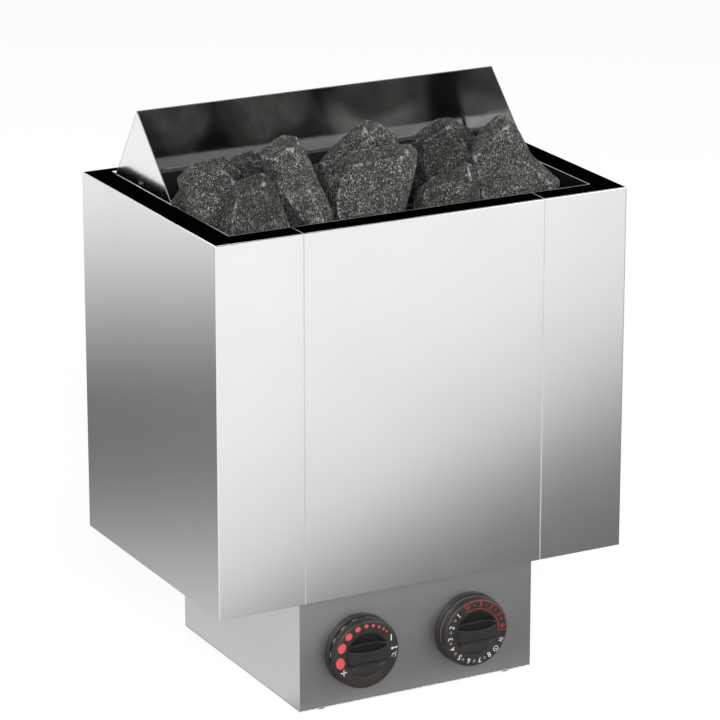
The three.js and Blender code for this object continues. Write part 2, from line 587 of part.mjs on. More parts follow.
// A switch body behind the front sheet, with a bush that passes through the sheet.
function dialBody(halfX, halfZ, depth) {
  const face = SHEET + FIT_GAP;
  const whole = joined([
    block(-halfX, halfX, face, face + depth, -halfZ, halfZ),
    barY(BUSH_RADIUS, 0, -4, face + 1, 0, 24),
  ]);
  return cutBy(whole, [barY(SHAFT_RADIUS + FIT_GAP, 0, -9, SHAFT_IN_BODY, 0, 20)]);
}
const THERMOSTAT_DEPTH = 38;
const TIMER_DEPTH = 48;
const dials = [
  { name: 'thermostat', x: THERMOSTAT_X, body: dialBody(20, 18, THERMOSTAT_DEPTH) },
  { name: 'timer', x: TIMER_X, body: dialBody(31, 29, TIMER_DEPTH) },
];
for (const { name, x, body } of dials) {
  const dial = new THREE.Group();
  dial.position.set(x, BOX_FRONT, DIAL_Z);
  addPiece(`${name}_bezel`, bezel(), BLACK_PLASTIC, [0, 0, 0], dial);
  addPiece(`${name}_knob`, knob(), BLACK_PLASTIC, [0, 0, 0], dial);
  addPiece(`${name}_shaft`, shaft(), GALVANISED, [0, 0, 0], dial);
  addPiece(`${name}_body`, body, PALE_PLASTIC, [0, 0, 0], dial);
  group.add(dial);
}

// Feeler of the thermostat: a thin tube up the back air gap, with a bulb at its top.
const BULB_RADIUS = 3.5;
const BULB_LENGTH = 90;
const BULB_LOW = RIM_TOP - 130;
const feelerStart = BOX_FRONT + SHEET + THERMOSTAT_DEPTH + 2 * FIT_GAP;
addPiece('thermostat_feeler', joined([
  tube([
    [THERMOSTAT_X, feelerStart, DIAL_Z],
    [THERMOSTAT_X, capillaryY, DIAL_Z],
    [THERMOSTAT_X, capillaryY, BULB_LOW + 1],
  ], 15, CAPILLARY_RADIUS, 3, 24),
  barZ(BULB_RADIUS, THERMOSTAT_X, capillaryY, BULB_LOW, BULB_LOW + BULB_LENGTH, 12),
]), COPPER);

// Overheat cut-out on the bottom cover, with a reset button that is pressed from below.
const cutoutLow = BOX_FLOOR + SHEET + FIT_GAP;
const RESET_COLLAR = 1.5;
const RESET_COLLAR_RADIUS = 4.8;
const RESET_STEM_RADIUS = 2.5;
const RESET_STEM = 6;
const collarTop = cutoutLow + RESET_COLLAR;
addPiece('reset_button', joined([
  barZ(RESET_RADIUS, RESET_X, RESET_Y, 1, cutoutLow + 0.5, 20),
  barZ(RESET_COLLAR_RADIUS, RESET_X, RESET_Y, cutoutLow, collarTop, 20),
  barZ(RESET_STEM_RADIUS, RESET_X, RESET_Y, cutoutLow + 1, collarTop + RESET_STEM, 16),
]), RED_PLASTIC);
const collarRoom = collarTop + RESET_TRAVEL + FIT_GAP;
addPiece('cutout_body', cutBy(
  block(RESET_X - 18, RESET_X + 18, RESET_Y - 17, RESET_Y + 17, cutoutLow, cutoutLow + 32),
  [
    barZ(RESET_COLLAR_RADIUS + FIT_GAP, RESET_X, RESET_Y, cutoutLow - 5, collarRoom, 20),
    barZ(RESET_STEM_RADIUS + FIT_GAP, RESET_X, RESET_Y, cutoutLow, collarRoom + RESET_STEM, 16),
  ],
), PALE_PLASTIC);

// Terminal block on the back sheet, the cable gland below it, and the wires to the timer.
const TERMINAL_X = 35;
const terminalBack = BOX_BACK - SHEET - FIT_GAP;
const terminalFront = terminalBack - 26;
const terminalCuts = [];
for (let i = 0; i < 5; i += 1) {
  terminalCuts.push(barY(
    3, TERMINAL_X + 9 + i * 14, terminalFront - 1, terminalFront + 8, BOX_FLOOR + 76, 12,
  ));
}
addPiece('terminal_block', cutBy(block(
  TERMINAL_X, TERMINAL_X + 74, terminalFront, terminalBack, BOX_FLOOR + 60, BOX_FLOOR + 84,
), terminalCuts), PALE_PLASTIC);
const GLAND_FLANGE_RADIUS = 13;
addPiece('cable_gland', cutBy(joined([
  barY(GLAND_FLANGE_RADIUS, GLAND_X, BOX_BACK + FIT_GAP, BOX_BACK + 6, GLAND_Z, 6),
  barY(GLAND_RADIUS + 1.5, GLAND_X, BOX_BACK + 5, BOX_BACK + 14, GLAND_Z, 24),
  barY(GLAND_RADIUS, GLAND_X, BOX_BACK - 8, BOX_BACK + 6, GLAND_Z, 24),
  barY(GLAND_FLANGE_RADIUS, GLAND_X, terminalBack - 6, terminalBack, GLAND_Z, 6),
]), [barY(5.5, GLAND_X, BOX_BACK - 20, BOX_BACK + 20, GLAND_Z, 20)]), BLACK_PLASTIC);
const timerBack = BOX_FRONT + SHEET + TIMER_DEPTH + 2 * FIT_GAP;
addPiece('timer_wires', tube([
  [TIMER_X, timerBack, DIAL_Z],
  [TIMER_X, terminalFront - 30, DIAL_Z],
  [TIMER_X, terminalFront - 30, BOX_FLOOR + 66],
  [TIMER_X, terminalFront - FIT_GAP, BOX_FLOOR + 66],
], 6, 3, 3, 24), BLACK_PLASTIC);

// Stones. A stone is what flat cuts leave of a block, or two such bodies joined.
// Directions for the upper stones are given as seen from the front left corner, a little from above.
const VIEW_TURN = THREE.MathUtils.degToRad(28);
const VIEW_DROP = THREE.MathUtils.degToRad(18);
const seenRight = new THREE.Vector3(Math.cos(VIEW_TURN), -Math.sin(VIEW_TURN), 0);
const seenNear = new THREE.Vector3(
  -Math.sin(VIEW_TURN) * Math.cos(VIEW_DROP), -Math.cos(VIEW_TURN) * Math.cos(VIEW_DROP), Math.sin(VIEW_DROP),
);
const seenUp = new THREE.Vector3().crossVectors(seenNear, seenRight);
const STONE_GAP = 0.3;
const STONE_UNIT = 1;

function reachOf(cuts, direction) {
  let reach = Infinity;
  for (const { normal, distance } of cuts) {
    const along = normal.dot(direction);
    if (along > 1e-6) reach = Math.min(reach, distance / along);
  }
  return reach;
}

// The flat cuts of a lobe: its outline as seen, rounded off to the front and to the back.
function lobeCuts(outline, near, far) {
  const cuts = [
    { normal: seenNear.clone(), distance: near },
    { normal: seenNear.clone().negate(), distance: far },
  ];
  const corners = outline.map(([x, y]) => [x * STONE_UNIT, y * STONE_UNIT]);
  corners.forEach(([x, y], i) => {
    const [nextX, nextY] = corners[(i + 1) % corners.length];
    const length = Math.hypot(nextX - x, nextY - y);
    const outX = (y - nextY) / length;
    const outY = (nextX - x) / length;
    const distance = x * outX + y * outY;
    const edge = seenRight.clone().multiplyScalar(outX).addScaledVector(seenUp, outY);
    cuts.push({ normal: edge, distance });
    const waver = Math.sin(2.3 * i + near);
    for (const [sign, depth, lean, share] of [
      [1, near, 0.75 + 0.3 * waver, 0.84 - 0.03 * waver],
      [-1, far, 0.9, 0.82],
    ]) {
      const normal = edge.clone().addScaledVector(seenNear, sign * lean).normalize();
      const corner = (distance + lean * depth) / Math.hypot(1, lean);
      cuts.push({ normal, distance: corner * share });
    }
  });
  return cuts;
}

// Upper stones: place from the middle of the casing, from its front and from the rim, then outline and depth,
// all in stone units.
const upperStones = [
  {
    name: 'stone_left',
    at: [-153, 122, 0],
    lobes: [[[-27, 22], [-14, 35], [15, 42], [30, 29], [35, -9], [27, -48], [-8, -48], [-19, -6]]],
    near: 30, far: 28,
  },
  {
    name: 'stone_front_left',
    at: [-137, 58, 0],
    lobes: [[[-30, -5], [-24, 20], [-16, 34], [6, 41], [15, 32], [22, 15], [31, -9], [30, -45], [-26, -48]]],
    near: 28, far: 30,
  },
  {
    name: 'stone_tall',
    at: [-88, 75, 12],
    lobes: [[[-33, 37], [-13, 52], [0, 50], [10, 31], [31, -16], [31, -55], [-10, -59]]],
    near: 32, far: 30,
  },
  {
    name: 'stone_behind_left',
    at: [-105, 135, 6],
    lobes: [[[-21, 20], [-9, 30], [5, 33], [18, 25], [24, -2], [20, -44], [-20, -44]]],
    near: 24, far: 26,
  },
  {
    name: 'stone_back_peak',
    at: [2, 132, 12],
    lobes: [[[-36, 3], [-21, 20], [2, 40], [8, 42], [18, 39], [35, 28], [42, -2], [34, -52], [-32, -52]]],
    near: 30, far: 23,
  },
  {
    name: 'stone_front_middle',
    at: [-18, 68, 2],
    lobes: [[
      [-40, 10], [-36, 25], [-17, 41], [12, 46], [34, 47],
      [40, 41], [39, 18], [30, -10], [20, -52], [-28, -56],
    ]],
    near: 34, far: 30,
  },
  {
    name: 'stone_back_round',
    at: [83, 118, 12],
    lobes: [[[-30, 15], [-22, 26], [-6, 37], [4, 38], [24, 28], [29, 18], [28, -48], [-24, -52]]],
    near: 30, far: 28,
  },
  {
    name: 'stone_front_small',
    at: [47, 48, -8],
    lobes: [[[-30, 0], [-27, 12], [-14, 24], [21, 37], [27, 29], [30, 13], [29, -31], [-24, -38]]],
    near: 22, far: 26,
  },
  {
    name: 'stone_right',
    at: [129, 78, 2],
    lobes: [
      [[-42, 17], [-28, 38], [-12, 53], [-5, 53], [8, 38], [18, 17], [28, -12], [30, -46], [-25, -52]],
      [[-34, 6], [-6, 32], [16, 19], [44, -5], [43, -42], [0, -50]],
    ],
    near: 36, far: 34,
  },
  {
    name: 'stone_under_hood_left',
    at: [-112, 190, -25],
    lobes: [[[-46, -4], [-28, 20], [6, 26], [30, 18], [46, 0], [44, -26], [-42, -26]]],
    near: 34, far: 46,
  },
  {
    name: 'stone_under_hood_middle',
    at: [-10, 192, -25],
    lobes: [[[-50, -4], [-34, 20], [4, 26], [28, 18], [44, -2], [44, -28], [-48, -28]]],
    near: 34, far: 46,
  },
  {
    name: 'stone_under_hood_right',
    at: [118, 188, -25],
    lobes: [[[-48, -6], [-22, 14], [10, 24], [34, 20], [52, -4], [50, -28], [-46, -28]]],
    near: 36, far: 34,
  },
];
const stones = upperStones.map(({ name, at, lobes, near, far }) => ({
  name,
  centre: new THREE.Vector3(...at).multiplyScalar(STONE_UNIT).add(new THREE.Vector3(0, FRONT, RIM_TOP)),
  lobes: lobes.map((outline) => lobeCuts(outline, near * STONE_UNIT, far * STONE_UNIT)),
  low: LAYER_LEVEL + STONE_GAP / 2,
  high: RIM_TOP + HOOD_HEIGHT,
  sides: [-linerFitX, linerFitX, grateFront, grateBack],
}));

// Lower stones: two rows of three, with slots between them for the heating elements.
const LOW_STONE_RADIUS = 61;
const LOW_STONE_WAVE = 7;
const columns = [
  [-linerFitX, -ELEMENT_X - ELEMENT_SLOT / 2],
  [-ELEMENT_X + ELEMENT_SLOT / 2, ELEMENT_X - ELEMENT_SLOT / 2],
  [ELEMENT_X + ELEMENT_SLOT / 2, linerFitX],
];
const rows = [
  [grateFront, MIDDLE_Y - ELEMENT_SLOT / 2],
  [MIDDLE_Y + ELEMENT_SLOT / 2, grateBack],
];
const lowerLow = GRATE_TOP + STONE_GAP;
const lowerHigh = LAYER_LEVEL - STONE_GAP / 2;
rows.forEach(([y0, y1], row) => columns.forEach(([x0, x1], column) => {
  const lobe = [];
  for (let i = 0; i < 14; i += 1) {
    const turn = i * 2.4 + row + column * 1.7;
    const rise = 1 - (2 * i + 1) / 14;
    const flat = Math.sqrt(1 - rise * rise);
    const normal = new THREE.Vector3(flat * Math.cos(turn), flat * Math.sin(turn), rise);
    const distance = LOW_STONE_RADIUS + LOW_STONE_WAVE * Math.sin(5 * i + 3 * row + column);
    lobe.push({ normal, distance });
  }
  stones.push({
    name: `stone_low_${row * columns.length + column + 1}`,
    centre: new THREE.Vector3((x0 + x1) / 2, (y0 + y1) / 2, (lowerLow + lowerHigh) / 2),
    lobes: [lobe],
    low: lowerLow,
    high: lowerHigh,
    sides: [x0, x1, y0, y1],
  });
}));

function ownReach({ lobes }, direction) {
  return Math.max(...lobes.map((cuts) => reachOf(cuts, direction)));
}

// Neighbours in a layer are parted by a flat cut, set between them by how far each would reach.
const NEIGHBOUR_RANGE = 180;
function partingCuts(stone) {
  const cuts = [];
  for (const other of stones) {
    if (other !== stone && other.low === stone.low) {
      const normal = other.centre.clone().sub(stone.centre);
      const apart = normal.length();
      normal.normalize();
      const own = ownReach(stone, normal);
      const theirs = ownReach(other, normal.clone().negate());
      const distance = apart * own / (own + theirs) - STONE_GAP / 2;
      if (apart < NEIGHBOUR_RANGE) cuts.push({ normal, distance });
    }
  }
  return cuts;
}

const AXES = [new THREE.Vector3(1, 0, 0), new THREE.Vector3(0, 1, 0), new THREE.Vector3(0, 0, 1)];

// Walls and the layer below end a stone as well.
function boundCuts({ centre, sides, low, high }) {
  const [x0, x1, y0, y1] = sides;
  const bounds = [[x0, x1], [y0, y1], [low, high]];
  const cuts = [];
  bounds.forEach(([least, most], i) => {
    const middle = centre.getComponent(i);
    cuts.push({ normal: AXES[i].clone(), distance: most - middle });
    cuts.push({ normal: AXES[i].clone().negate(), distance: middle - least });
  });
  return cuts;
}

const STONE_BLANK = 150;

// What is left of a solid inside all of the flat cuts.
function trimmed(solid, cuts) {
  return cuts.reduce((left, { normal, distance }) => left.trimByPlane(
    normal.clone().negate().toArray(), -distance,
  ), solid);
}

const pile = new THREE.Group();
for (const stone of stones) {
  const blank = block(-STONE_BLANK, STONE_BLANK, -STONE_BLANK, STONE_BLANK, -STONE_BLANK, STONE_BLANK);
  const whole = joined(stone.lobes.map((cuts) => trimmed(blank, cuts)));
  const left = trimmed(whole, [...partingCuts(stone), ...boundCuts(stone)]);
  addPiece(stone.name, left, STONE, stone.centre.toArray(), pile);
}
group.add(pile);

export default group;
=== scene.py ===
import json
import math

import bmesh
import bpy
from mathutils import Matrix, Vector, noise

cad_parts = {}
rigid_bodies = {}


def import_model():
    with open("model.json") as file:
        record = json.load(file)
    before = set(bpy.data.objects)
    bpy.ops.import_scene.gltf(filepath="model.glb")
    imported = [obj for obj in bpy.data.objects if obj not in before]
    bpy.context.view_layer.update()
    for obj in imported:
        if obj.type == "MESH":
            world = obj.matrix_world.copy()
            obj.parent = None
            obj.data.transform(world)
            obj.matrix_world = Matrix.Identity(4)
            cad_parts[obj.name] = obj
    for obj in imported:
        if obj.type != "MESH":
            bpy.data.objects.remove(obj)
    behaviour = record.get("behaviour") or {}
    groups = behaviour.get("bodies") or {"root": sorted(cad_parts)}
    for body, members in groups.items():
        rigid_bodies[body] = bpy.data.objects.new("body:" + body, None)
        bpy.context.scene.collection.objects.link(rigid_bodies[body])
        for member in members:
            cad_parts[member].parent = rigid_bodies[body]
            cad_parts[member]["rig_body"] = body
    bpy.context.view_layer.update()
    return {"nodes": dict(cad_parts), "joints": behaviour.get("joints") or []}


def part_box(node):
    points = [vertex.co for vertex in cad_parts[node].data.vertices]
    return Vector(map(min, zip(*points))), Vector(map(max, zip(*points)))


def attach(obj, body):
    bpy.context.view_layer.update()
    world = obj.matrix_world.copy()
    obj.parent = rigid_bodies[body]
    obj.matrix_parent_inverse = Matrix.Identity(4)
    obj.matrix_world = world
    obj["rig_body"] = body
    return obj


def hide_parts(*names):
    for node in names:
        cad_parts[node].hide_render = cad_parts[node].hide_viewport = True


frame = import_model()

MM = 0.001
NODES = frame["nodes"]
SCENE = bpy.context.scene

# Places that the frame gives, in metres
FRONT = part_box("front_panel")[0].y
RIM_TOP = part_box("front_panel")[1].z
HALF_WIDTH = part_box("right_side_panel")[1].x
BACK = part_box("left_side_panel")[1].y
BOX_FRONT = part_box("box_shell")[0].y
BOX_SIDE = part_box("box_shell")[1].x
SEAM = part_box("front_panel")[1].x
HOOD_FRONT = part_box("deflector_left_end")[0].y
DIALS = {joint["child"]: Vector(joint["pos_m"]) for joint in frame["joints"] if "pos_m" in joint}


# Camera

CAMERA_X = -1.62324
CAMERA_BEFORE_FRONT = 2.93886
CAMERA_Z = 1.39660
CAMERA_LOOK = Vector((0.44595356, 0.84132898, -0.30543572))
CAMERA_LENS = 199.885


def make_camera():
    data = bpy.data.cameras.new("camera")
    data.lens = CAMERA_LENS
    data.sensor_width = 36.0
    data.clip_end = 100.0
    camera = bpy.data.objects.new("camera", data)
    camera.location = (CAMERA_X, FRONT - CAMERA_BEFORE_FRONT, CAMERA_Z)
    camera.rotation_euler = CAMERA_LOOK.to_track_quat("-Z", "Y").to_euler()
    SCENE.collection.objects.link(camera)
    SCENE.camera = camera


# Node helpers

def add(tree, kind, inputs=None, **settings):
    """A shader node: settings are its own properties, inputs are values or other nodes' outputs."""
    node = tree.nodes.new("ShaderNode" + kind)
    for key, value in settings.items():
        setattr(node, key, value)
    for key, value in (inputs or {}).items():
        if isinstance(value, bpy.types.NodeSocket):
            tree.links.new(value, node.inputs[key])
        else:
            node.inputs[key].default_value = value
    return node


def new_material(name):
    material = bpy.data.materials.new(name)
    material.use_nodes = True
    material.node_tree.nodes.clear()
    return material, material.node_tree


def close(tree, shader):
    add(tree, "OutputMaterial", {"Surface": shader})


def place(tree, stretch=(1.0, 1.0, 1.0)):
    """Where a point is on the object, in metres, stretched along each axis."""
    coords = add(tree, "TexCoord").outputs["Object"]
    return add(tree, "Mapping", {"Vector": coords, "Scale": stretch}).outputs["Vector"]


def clouds(tree, vector, scale, detail=2.0, rough=0.5):
    inputs = {"Vector": vector, "Scale": scale, "Detail": detail, "Roughness": rough}
    return add(tree, "TexNoise", inputs).outputs["Fac"]


def cells(tree, vector, scale):
    return add(tree, "TexVoronoi", {"Vector": vector, "Scale": scale})


def ramp(tree, factor, stops, interpolation="LINEAR"):
    """Colours, or greys given as one number, by position from 0 to 1."""
    node = add(tree, "ValToRGB", {"Fac": factor})
    node.color_ramp.interpolation = interpolation
    points = node.color_ramp.elements
    while len(points) < len(stops):
        points.new(1.0)
    for point, (position, colour) in zip(points, stops):
        point.position = position
        grey = isinstance(colour, (int, float))
        point.color = (colour, colour, colour, 1.0) if grey else (*colour, 1.0)
    return node.outputs["Color"]


def span(tree, value, low, high, to_low=0.0, to_high=1.0):
    inputs = {"Value": value, "From Min": low, "From Max": high, "To Min": to_low, "To Max": to_high}
    return add(tree, "MapRange", inputs).outputs["Result"]


def maths(tree, operation, a, b):
    return add(tree, "Math", {0: a, 1: b}, operation=operation).outputs["Value"]


def blend(tree, factor, a, b, blend_type="MIX"):
    node = add(tree, "Mix", {0: factor, 6: a, 7: b}, data_type="RGBA", blend_type=blend_type)
    return node.outputs[2]


def bump(tree, height, strength, depth, under=None):
    inputs = {"Height": height, "Strength": strength, "Distance": depth}
    if under is not None:
        inputs["Normal"] = under
    return add(tree, "Bump", inputs).outputs["Normal"]


# Materials

def metal(name, dark, light, rough, spread, grain, depth):
    """Sheet metal: slightly cloudy, with fine lines in its roughness and bump."""
    material, tree = new_material(name)
    cloud = clouds(tree, place(tree), 9.0, 3.0)
    lines = clouds(tree, place(tree, grain), 1.0, 3.0)
    mottle = clouds(tree, place(tree), 34.0, 2.0)
    mixed = maths(tree, "ADD", maths(tree, "MULTIPLY", lines, 0.6), maths(tree, "MULTIPLY", mottle, 0.4))
    shader = add(tree, "BsdfPrincipled", {
        "Base Color": ramp(tree, cloud, [(0.3, dark), (0.7, light)]),
        "Metallic": 1.0,
        "Roughness": span(tree, mixed, 0.3, 0.7, rough - spread, rough + spread),
        "Normal": bump(tree, lines, 0.02, depth),
    })
    close(tree, shader.outputs[0])
    return material


def zinc(name):
    """Galvanised sheet, with the crystal spangle of the zinc."""
    material, tree = new_material(name)
    spot = place(tree)
    bent = add(tree, "TexNoise", {"Vector": spot, "Scale": 60.0}).outputs["Color"]
    where = add(tree, "Mix", {0: 0.004, 4: spot, 5: bent}, data_type="VECTOR").outputs[1]
    grain = add(tree, "SeparateColor", {0: cells(tree, where, 95.0).outputs["Color"]}).outputs[0]
    shader = add(tree, "BsdfPrincipled", {
        "Base Color": ramp(tree, grain, [(0.0, (0.44, 0.45, 0.46)), (1.0, (0.60, 0.61, 0.62))]),
        "Metallic": 1.0,
        "Roughness": span(tree, grain, 0.0, 1.0, 0.36, 0.52),
        "Normal": bump(tree, clouds(tree, spot, 240.0), 0.08, 0.0004),
    })
    close(tree, shader.outputs[0])
    return material


def moulded(name, dark, light, rough, grain=1400.0, specular=0.5, depth=0.0002):
    """Moulded plastic or paint with a fine surface grain."""
    material, tree = new_material(name)
    spot = place(tree)
    fine = clouds(tree, spot, grain, 2.0)
    wide = clouds(tree, spot, 55.0, 3.0)
    shader = add(tree, "BsdfPrincipled", {
        "Base Color": ramp(tree, wide, [(0.3, dark), (0.7, light)]),
        "Roughness": span(tree, fine, 0.3, 0.7, rough - 0.06, rough + 0.06),
        "Specular IOR Level": specular,
        "Normal": bump(tree, fine, 0.15, depth),
    })
    close(tree, shader.outputs[0])
    return material


WORN = "worn"
GRAIN_PITCH = 1350.0
FLECK_PITCH = 860.0
DUST_PITCH = 780.0
STONE_GRAINS = [
    (0.00, (0.013, 0.0135, 0.012)), (0.45, (0.030, 0.0315, 0.028)), (0.70, (0.060, 0.063, 0.056)),
    (0.88, (0.120, 0.124, 0.110)), (1.00, (0.26, 0.265, 0.24)),
]
STONE_FLECK = (0.25, 0.255, 0.225)
BRIGHT_FLECK = (0.62, 0.63, 0.56)
STONE_SCUFF = (0.62, 0.63, 0.65)
# Painted light: grey of the pale patch towards the back of a stone under the hood, and where the patch starts and is
# full.
PAINTED_LIGHT_GREY = (0.70, 0.70, 0.66)
PAINTED_LIGHT_START = 0.066
PAINTED_LIGHT_FULL = 0.092


def stone_material(name, shade, fleck_colour=STONE_FLECK, limed=False):
    """Split rock: grey-green, made of dark and pale grains, scuffed pale on its worn edges.

    A stone can also get a pale patch of painted light towards the back, standing in for light under the hood, which
    the hood mirrors.
    """
    material, tree = new_material(name)
    spot = place(tree)
    streaked = place(tree, (1.0, 1.0, 0.7))
    tone = clouds(tree, spot, 42.0, 5.0, 0.6)
    grain = add(tree, "SeparateColor", {0: cells(tree, streaked, GRAIN_PITCH).outputs["Color"]}).outputs[0]
    drift = clouds(tree, spot, 95.0, 3.0)
    often = maths(tree, "ADD", grain, span(tree, drift, 0.3, 0.7, -0.10, 0.10))
    colour = ramp(tree, often, STONE_GRAINS)
    patches = ramp(tree, tone, [(0.28, 0.56 * shade), (0.72, 1.46 * shade)])
    colour = blend(tree, 1.0, colour, patches, "MULTIPLY")
    dust = clouds(tree, spot, DUST_PITCH, 2.0)
    colour = blend(tree, 1.0, colour, ramp(tree, dust, [(0.34, 0.55), (0.66, 1.50)]), "MULTIPLY")
    crystal = cells(tree, spot, FLECK_PITCH)
    chosen = add(tree, "SeparateColor", {0: crystal.outputs["Color"]}).outputs[1]
    inside = span(tree, crystal.outputs["Distance"], 0.42, 0.28)
    fleck = maths(tree, "MULTIPLY", span(tree, chosen, 0.88, 0.91), inside)
    colour = blend(tree, fleck, colour, (*fleck_colour, 1.0))
    edge = add(tree, "Attribute", attribute_name=WORN).outputs["Fac"]
    rubbed = span(tree, clouds(tree, spot, 150.0, 5.0, 0.7), 0.48, 0.58)
    worn = maths(tree, "MULTIPLY", maths(tree, "MULTIPLY", edge, rubbed), span(tree, grain, 0.15, 0.75, 0.25, 1.0))
    colour = blend(tree, worn, colour, (*STONE_SCUFF, 1.0))
    # Painted light: a pale patch towards the back, which the hood mirrors.
    if limed:
        depth = add(tree, "SeparateXYZ", {0: spot}).outputs["Y"]
        patchy = span(tree, dust, 0.30, 0.50, 0.5, 1.0)
        painted_light_mask = maths(tree, "MULTIPLY", span(tree, depth, PAINTED_LIGHT_START, PAINTED_LIGHT_FULL), patchy)
        colour = blend(tree, painted_light_mask, colour, (*PAINTED_LIGHT_GREY, 1.0))
    coarse = bump(tree, clouds(tree, spot, 230.0, 6.0, 0.65), 0.5, 0.0016)
    shader = add(tree, "BsdfPrincipled", {
        "Base Color": colour,
        "Roughness": span(tree, tone, 0.3, 0.7, 0.72, 0.92),
        "Specular IOR Level": 0.3,
        "Normal": bump(tree, grain, 0.25, 0.0005, coarse),
    })
    close(tree, shader.outputs[0])
    return material


def heated_metal(name):
    """Heating element: dull nickel alloy, stained brown and blue by heat."""
    material, tree = new_material(name)
    spot = place(tree)
    stain = clouds(tree, spot, 26.0, 4.0)
    tints = [(0.30, (0.16, 0.14, 0.13)), (0.5, (0.26, 0.23, 0.20)), (0.7, (0.19, 0.20, 0.24))]
    shader = add(tree, "BsdfPrincipled", {
        "Base Color": ramp(tree, stain, tints),
        "Metallic": 1.0,
        "Roughness": span(tree, stain, 0.3, 0.7, 0.36, 0.58),
        "Normal": bump(tree, clouds(tree, spot, 900.0), 0.1, 0.0003),
    })
    close(tree, shader.outputs[0])
    return material


STEEL = metal("satin_steel", (0.82, 0.82, 0.825), (0.85, 0.85, 0.855), 0.20, 0.015, (6, 6, 900), 0.00004)
HOOD_STEEL = metal("hood_steel", (0.80, 0.80, 0.80), (0.84, 0.84, 0.84), 0.20, 0.006, (6, 700, 700), 0.000006)
# Painted shade: a darker copy of the steel, only for the outer front face of the control box.
BOX_FRONT_PAINTED_SHADE = metal("box_front_painted_shade", (0.44, 0.44, 0.445), (0.47, 0.47, 0.475), 0.42, 0.02, (6, 6, 900), 0.00004)
# Painted light: a lighter copy of the liner steel for the liner's up-facing faces under the hood, so that the hood
# mirrors a lit ledge.
LEDGE_PAINTED_LIGHT = metal("ledge_painted_light", (0.19, 0.19, 0.19), (0.23, 0.23, 0.23), 0.45, 0.04, (6, 6, 900), 0.00004)
# Painted shade: the liner steel made near black, standing in for the shade inside the stone compartment.
LINER_PAINTED_SHADE = metal("liner_painted_shade", (0.035, 0.035, 0.035), (0.060, 0.060, 0.060), 0.55, 0.06, (6, 6, 900), 0.00004)
# Screws made near black: partly a dark finish, partly painted shade where they sit in shadow.
SCREW_DARK_AND_PAINTED_SHADE = metal("screw_dark_and_painted_shade", (0.070, 0.070, 0.070), (0.100, 0.100, 0.100), 0.34, 0.04, (90, 90, 90), 0.00004)
SEAM_STEEL = metal("seam_steel", (0.63, 0.63, 0.63), (0.67, 0.67, 0.67), 0.80, 0.04, (90, 90, 90), 0.00004)
# Painted highlight: a lighter copy of the liner steel on the liners' top edges in front of the hood, where light
# catches them.
LINER_EDGE_PAINTED_HIGHLIGHT = metal("liner_edge_painted_highlight", (0.48, 0.48, 0.48), (0.54, 0.54, 0.54), 0.50, 0.04, (90, 90, 90), 0.00004)
BRIGHT_STEEL = metal("bright_steel", (0.86, 0.86, 0.865), (0.89, 0.89, 0.895), 0.15, 0.01, (6, 6, 900), 0.00004)
BLACK_RIM = moulded("black_rim", (0.0006, 0.0006, 0.0006), (0.0012, 0.0012, 0.0012), 0.55, 900.0, 0.0)
ZINC = zinc("galvanised_steel")
ELEMENT = heated_metal("element_steel")
STONE = stone_material("stone", 1.20)
FLECKED_STONE = stone_material("flecked_stone", 1.06, BRIGHT_FLECK)
DARK_STONE = stone_material("dark_stone", 0.77)
# Painted light: a paler copy of the stone for the stones under the hood, standing in for light on them, so that the
# hood mirrors them brighter.
PAINTED_LIGHT_STONE = stone_material("painted_light_stone", 1.9)
PAINTED_LIGHT_PATCH_STONE = stone_material("painted_light_patch_stone", 1.20, limed=True)
BLACK = moulded("black_plastic", (0.0260, 0.0220, 0.0200), (0.0350, 0.0300, 0.0272), 0.44, 1400.0, 0.34)
# Painted shade: darker copies of the black plastic, for the knobs' finger recesses and, less dark, for the top of the
# bar.
RECESS_PAINTED_SHADE = moulded("recess_painted_shade", (0.0105, 0.0100, 0.0102), (0.0145, 0.0138, 0.0140), 0.48, 1400.0, 0.28)
BAR_PAINTED_SHADE = moulded("bar_painted_shade", (0.0200, 0.0188, 0.0190), (0.0260, 0.0245, 0.0248), 0.46, 1400.0, 0.30)
PALE = moulded("pale_plastic", (0.62, 0.60, 0.55), (0.70, 0.68, 0.63), 0.45)
RED = moulded("red_plastic", (0.52, 0.03, 0.03), (0.60, 0.045, 0.04), 0.35)
COPPER = metal("copper", (0.62, 0.30, 0.19), (0.74, 0.40, 0.27), 0.3, 0.06, (300, 300, 300), 0.00004)
# Painted highlights: light grey bands round the knobs' necks, standing in for light caught there, made lighter
# against the shade between bezel and skirt.
NECK_RING_PAINTED_HIGHLIGHT = moulded("neck_ring_painted_highlight", (0.150, 0.143, 0.138), (0.190, 0.182, 0.176), 0.50)
NECK_DASH_PAINTED_HIGHLIGHT = moulded("neck_dash_painted_highlight", (0.25, 0.24, 0.235), (0.31, 0.30, 0.29), 0.50)
MARK_RED = moulded("mark_red", (0.58, 0.080, 0.084), (0.66, 0.095, 0.100), 0.55, 1100.0, 0.2)
THIN_RED = moulded("thin_red", (0.42, 0.040, 0.050), (0.52, 0.055, 0.065), 0.55, 1100.0, 0.2)
MARK_WHITE = moulded("mark_white", (0.60, 0.60, 0.59), (0.70, 0.70, 0.69), 0.55, 1100.0, 0.2)
MARK_GREY = moulded("mark_grey", (0.26, 0.26, 0.255), (0.34, 0.34, 0.335), 0.55, 1100.0, 0.2)

FINISH = {
    "casing_steel": STEEL,
    "hood_steel": HOOD_STEEL,
    "galvanised_steel": ZINC,
    "element_steel": ELEMENT,
    "black_plastic": BLACK,
    "pale_plastic": PALE,
    "red_plastic": RED,
    "copper": COPPER,
    "stone": STONE,
}


# Dressing the CAD nodes

FOLD_RADIUS = 1.2 * MM
EDGE_RADIUS = 0.25 * MM
NEAR = 0.15 * MM
RIM_LIP = 12 * MM
RIM_IN = 1.6 * MM
SEAM_NEAR = 0.9 * MM
SHARP = math.radians(32)

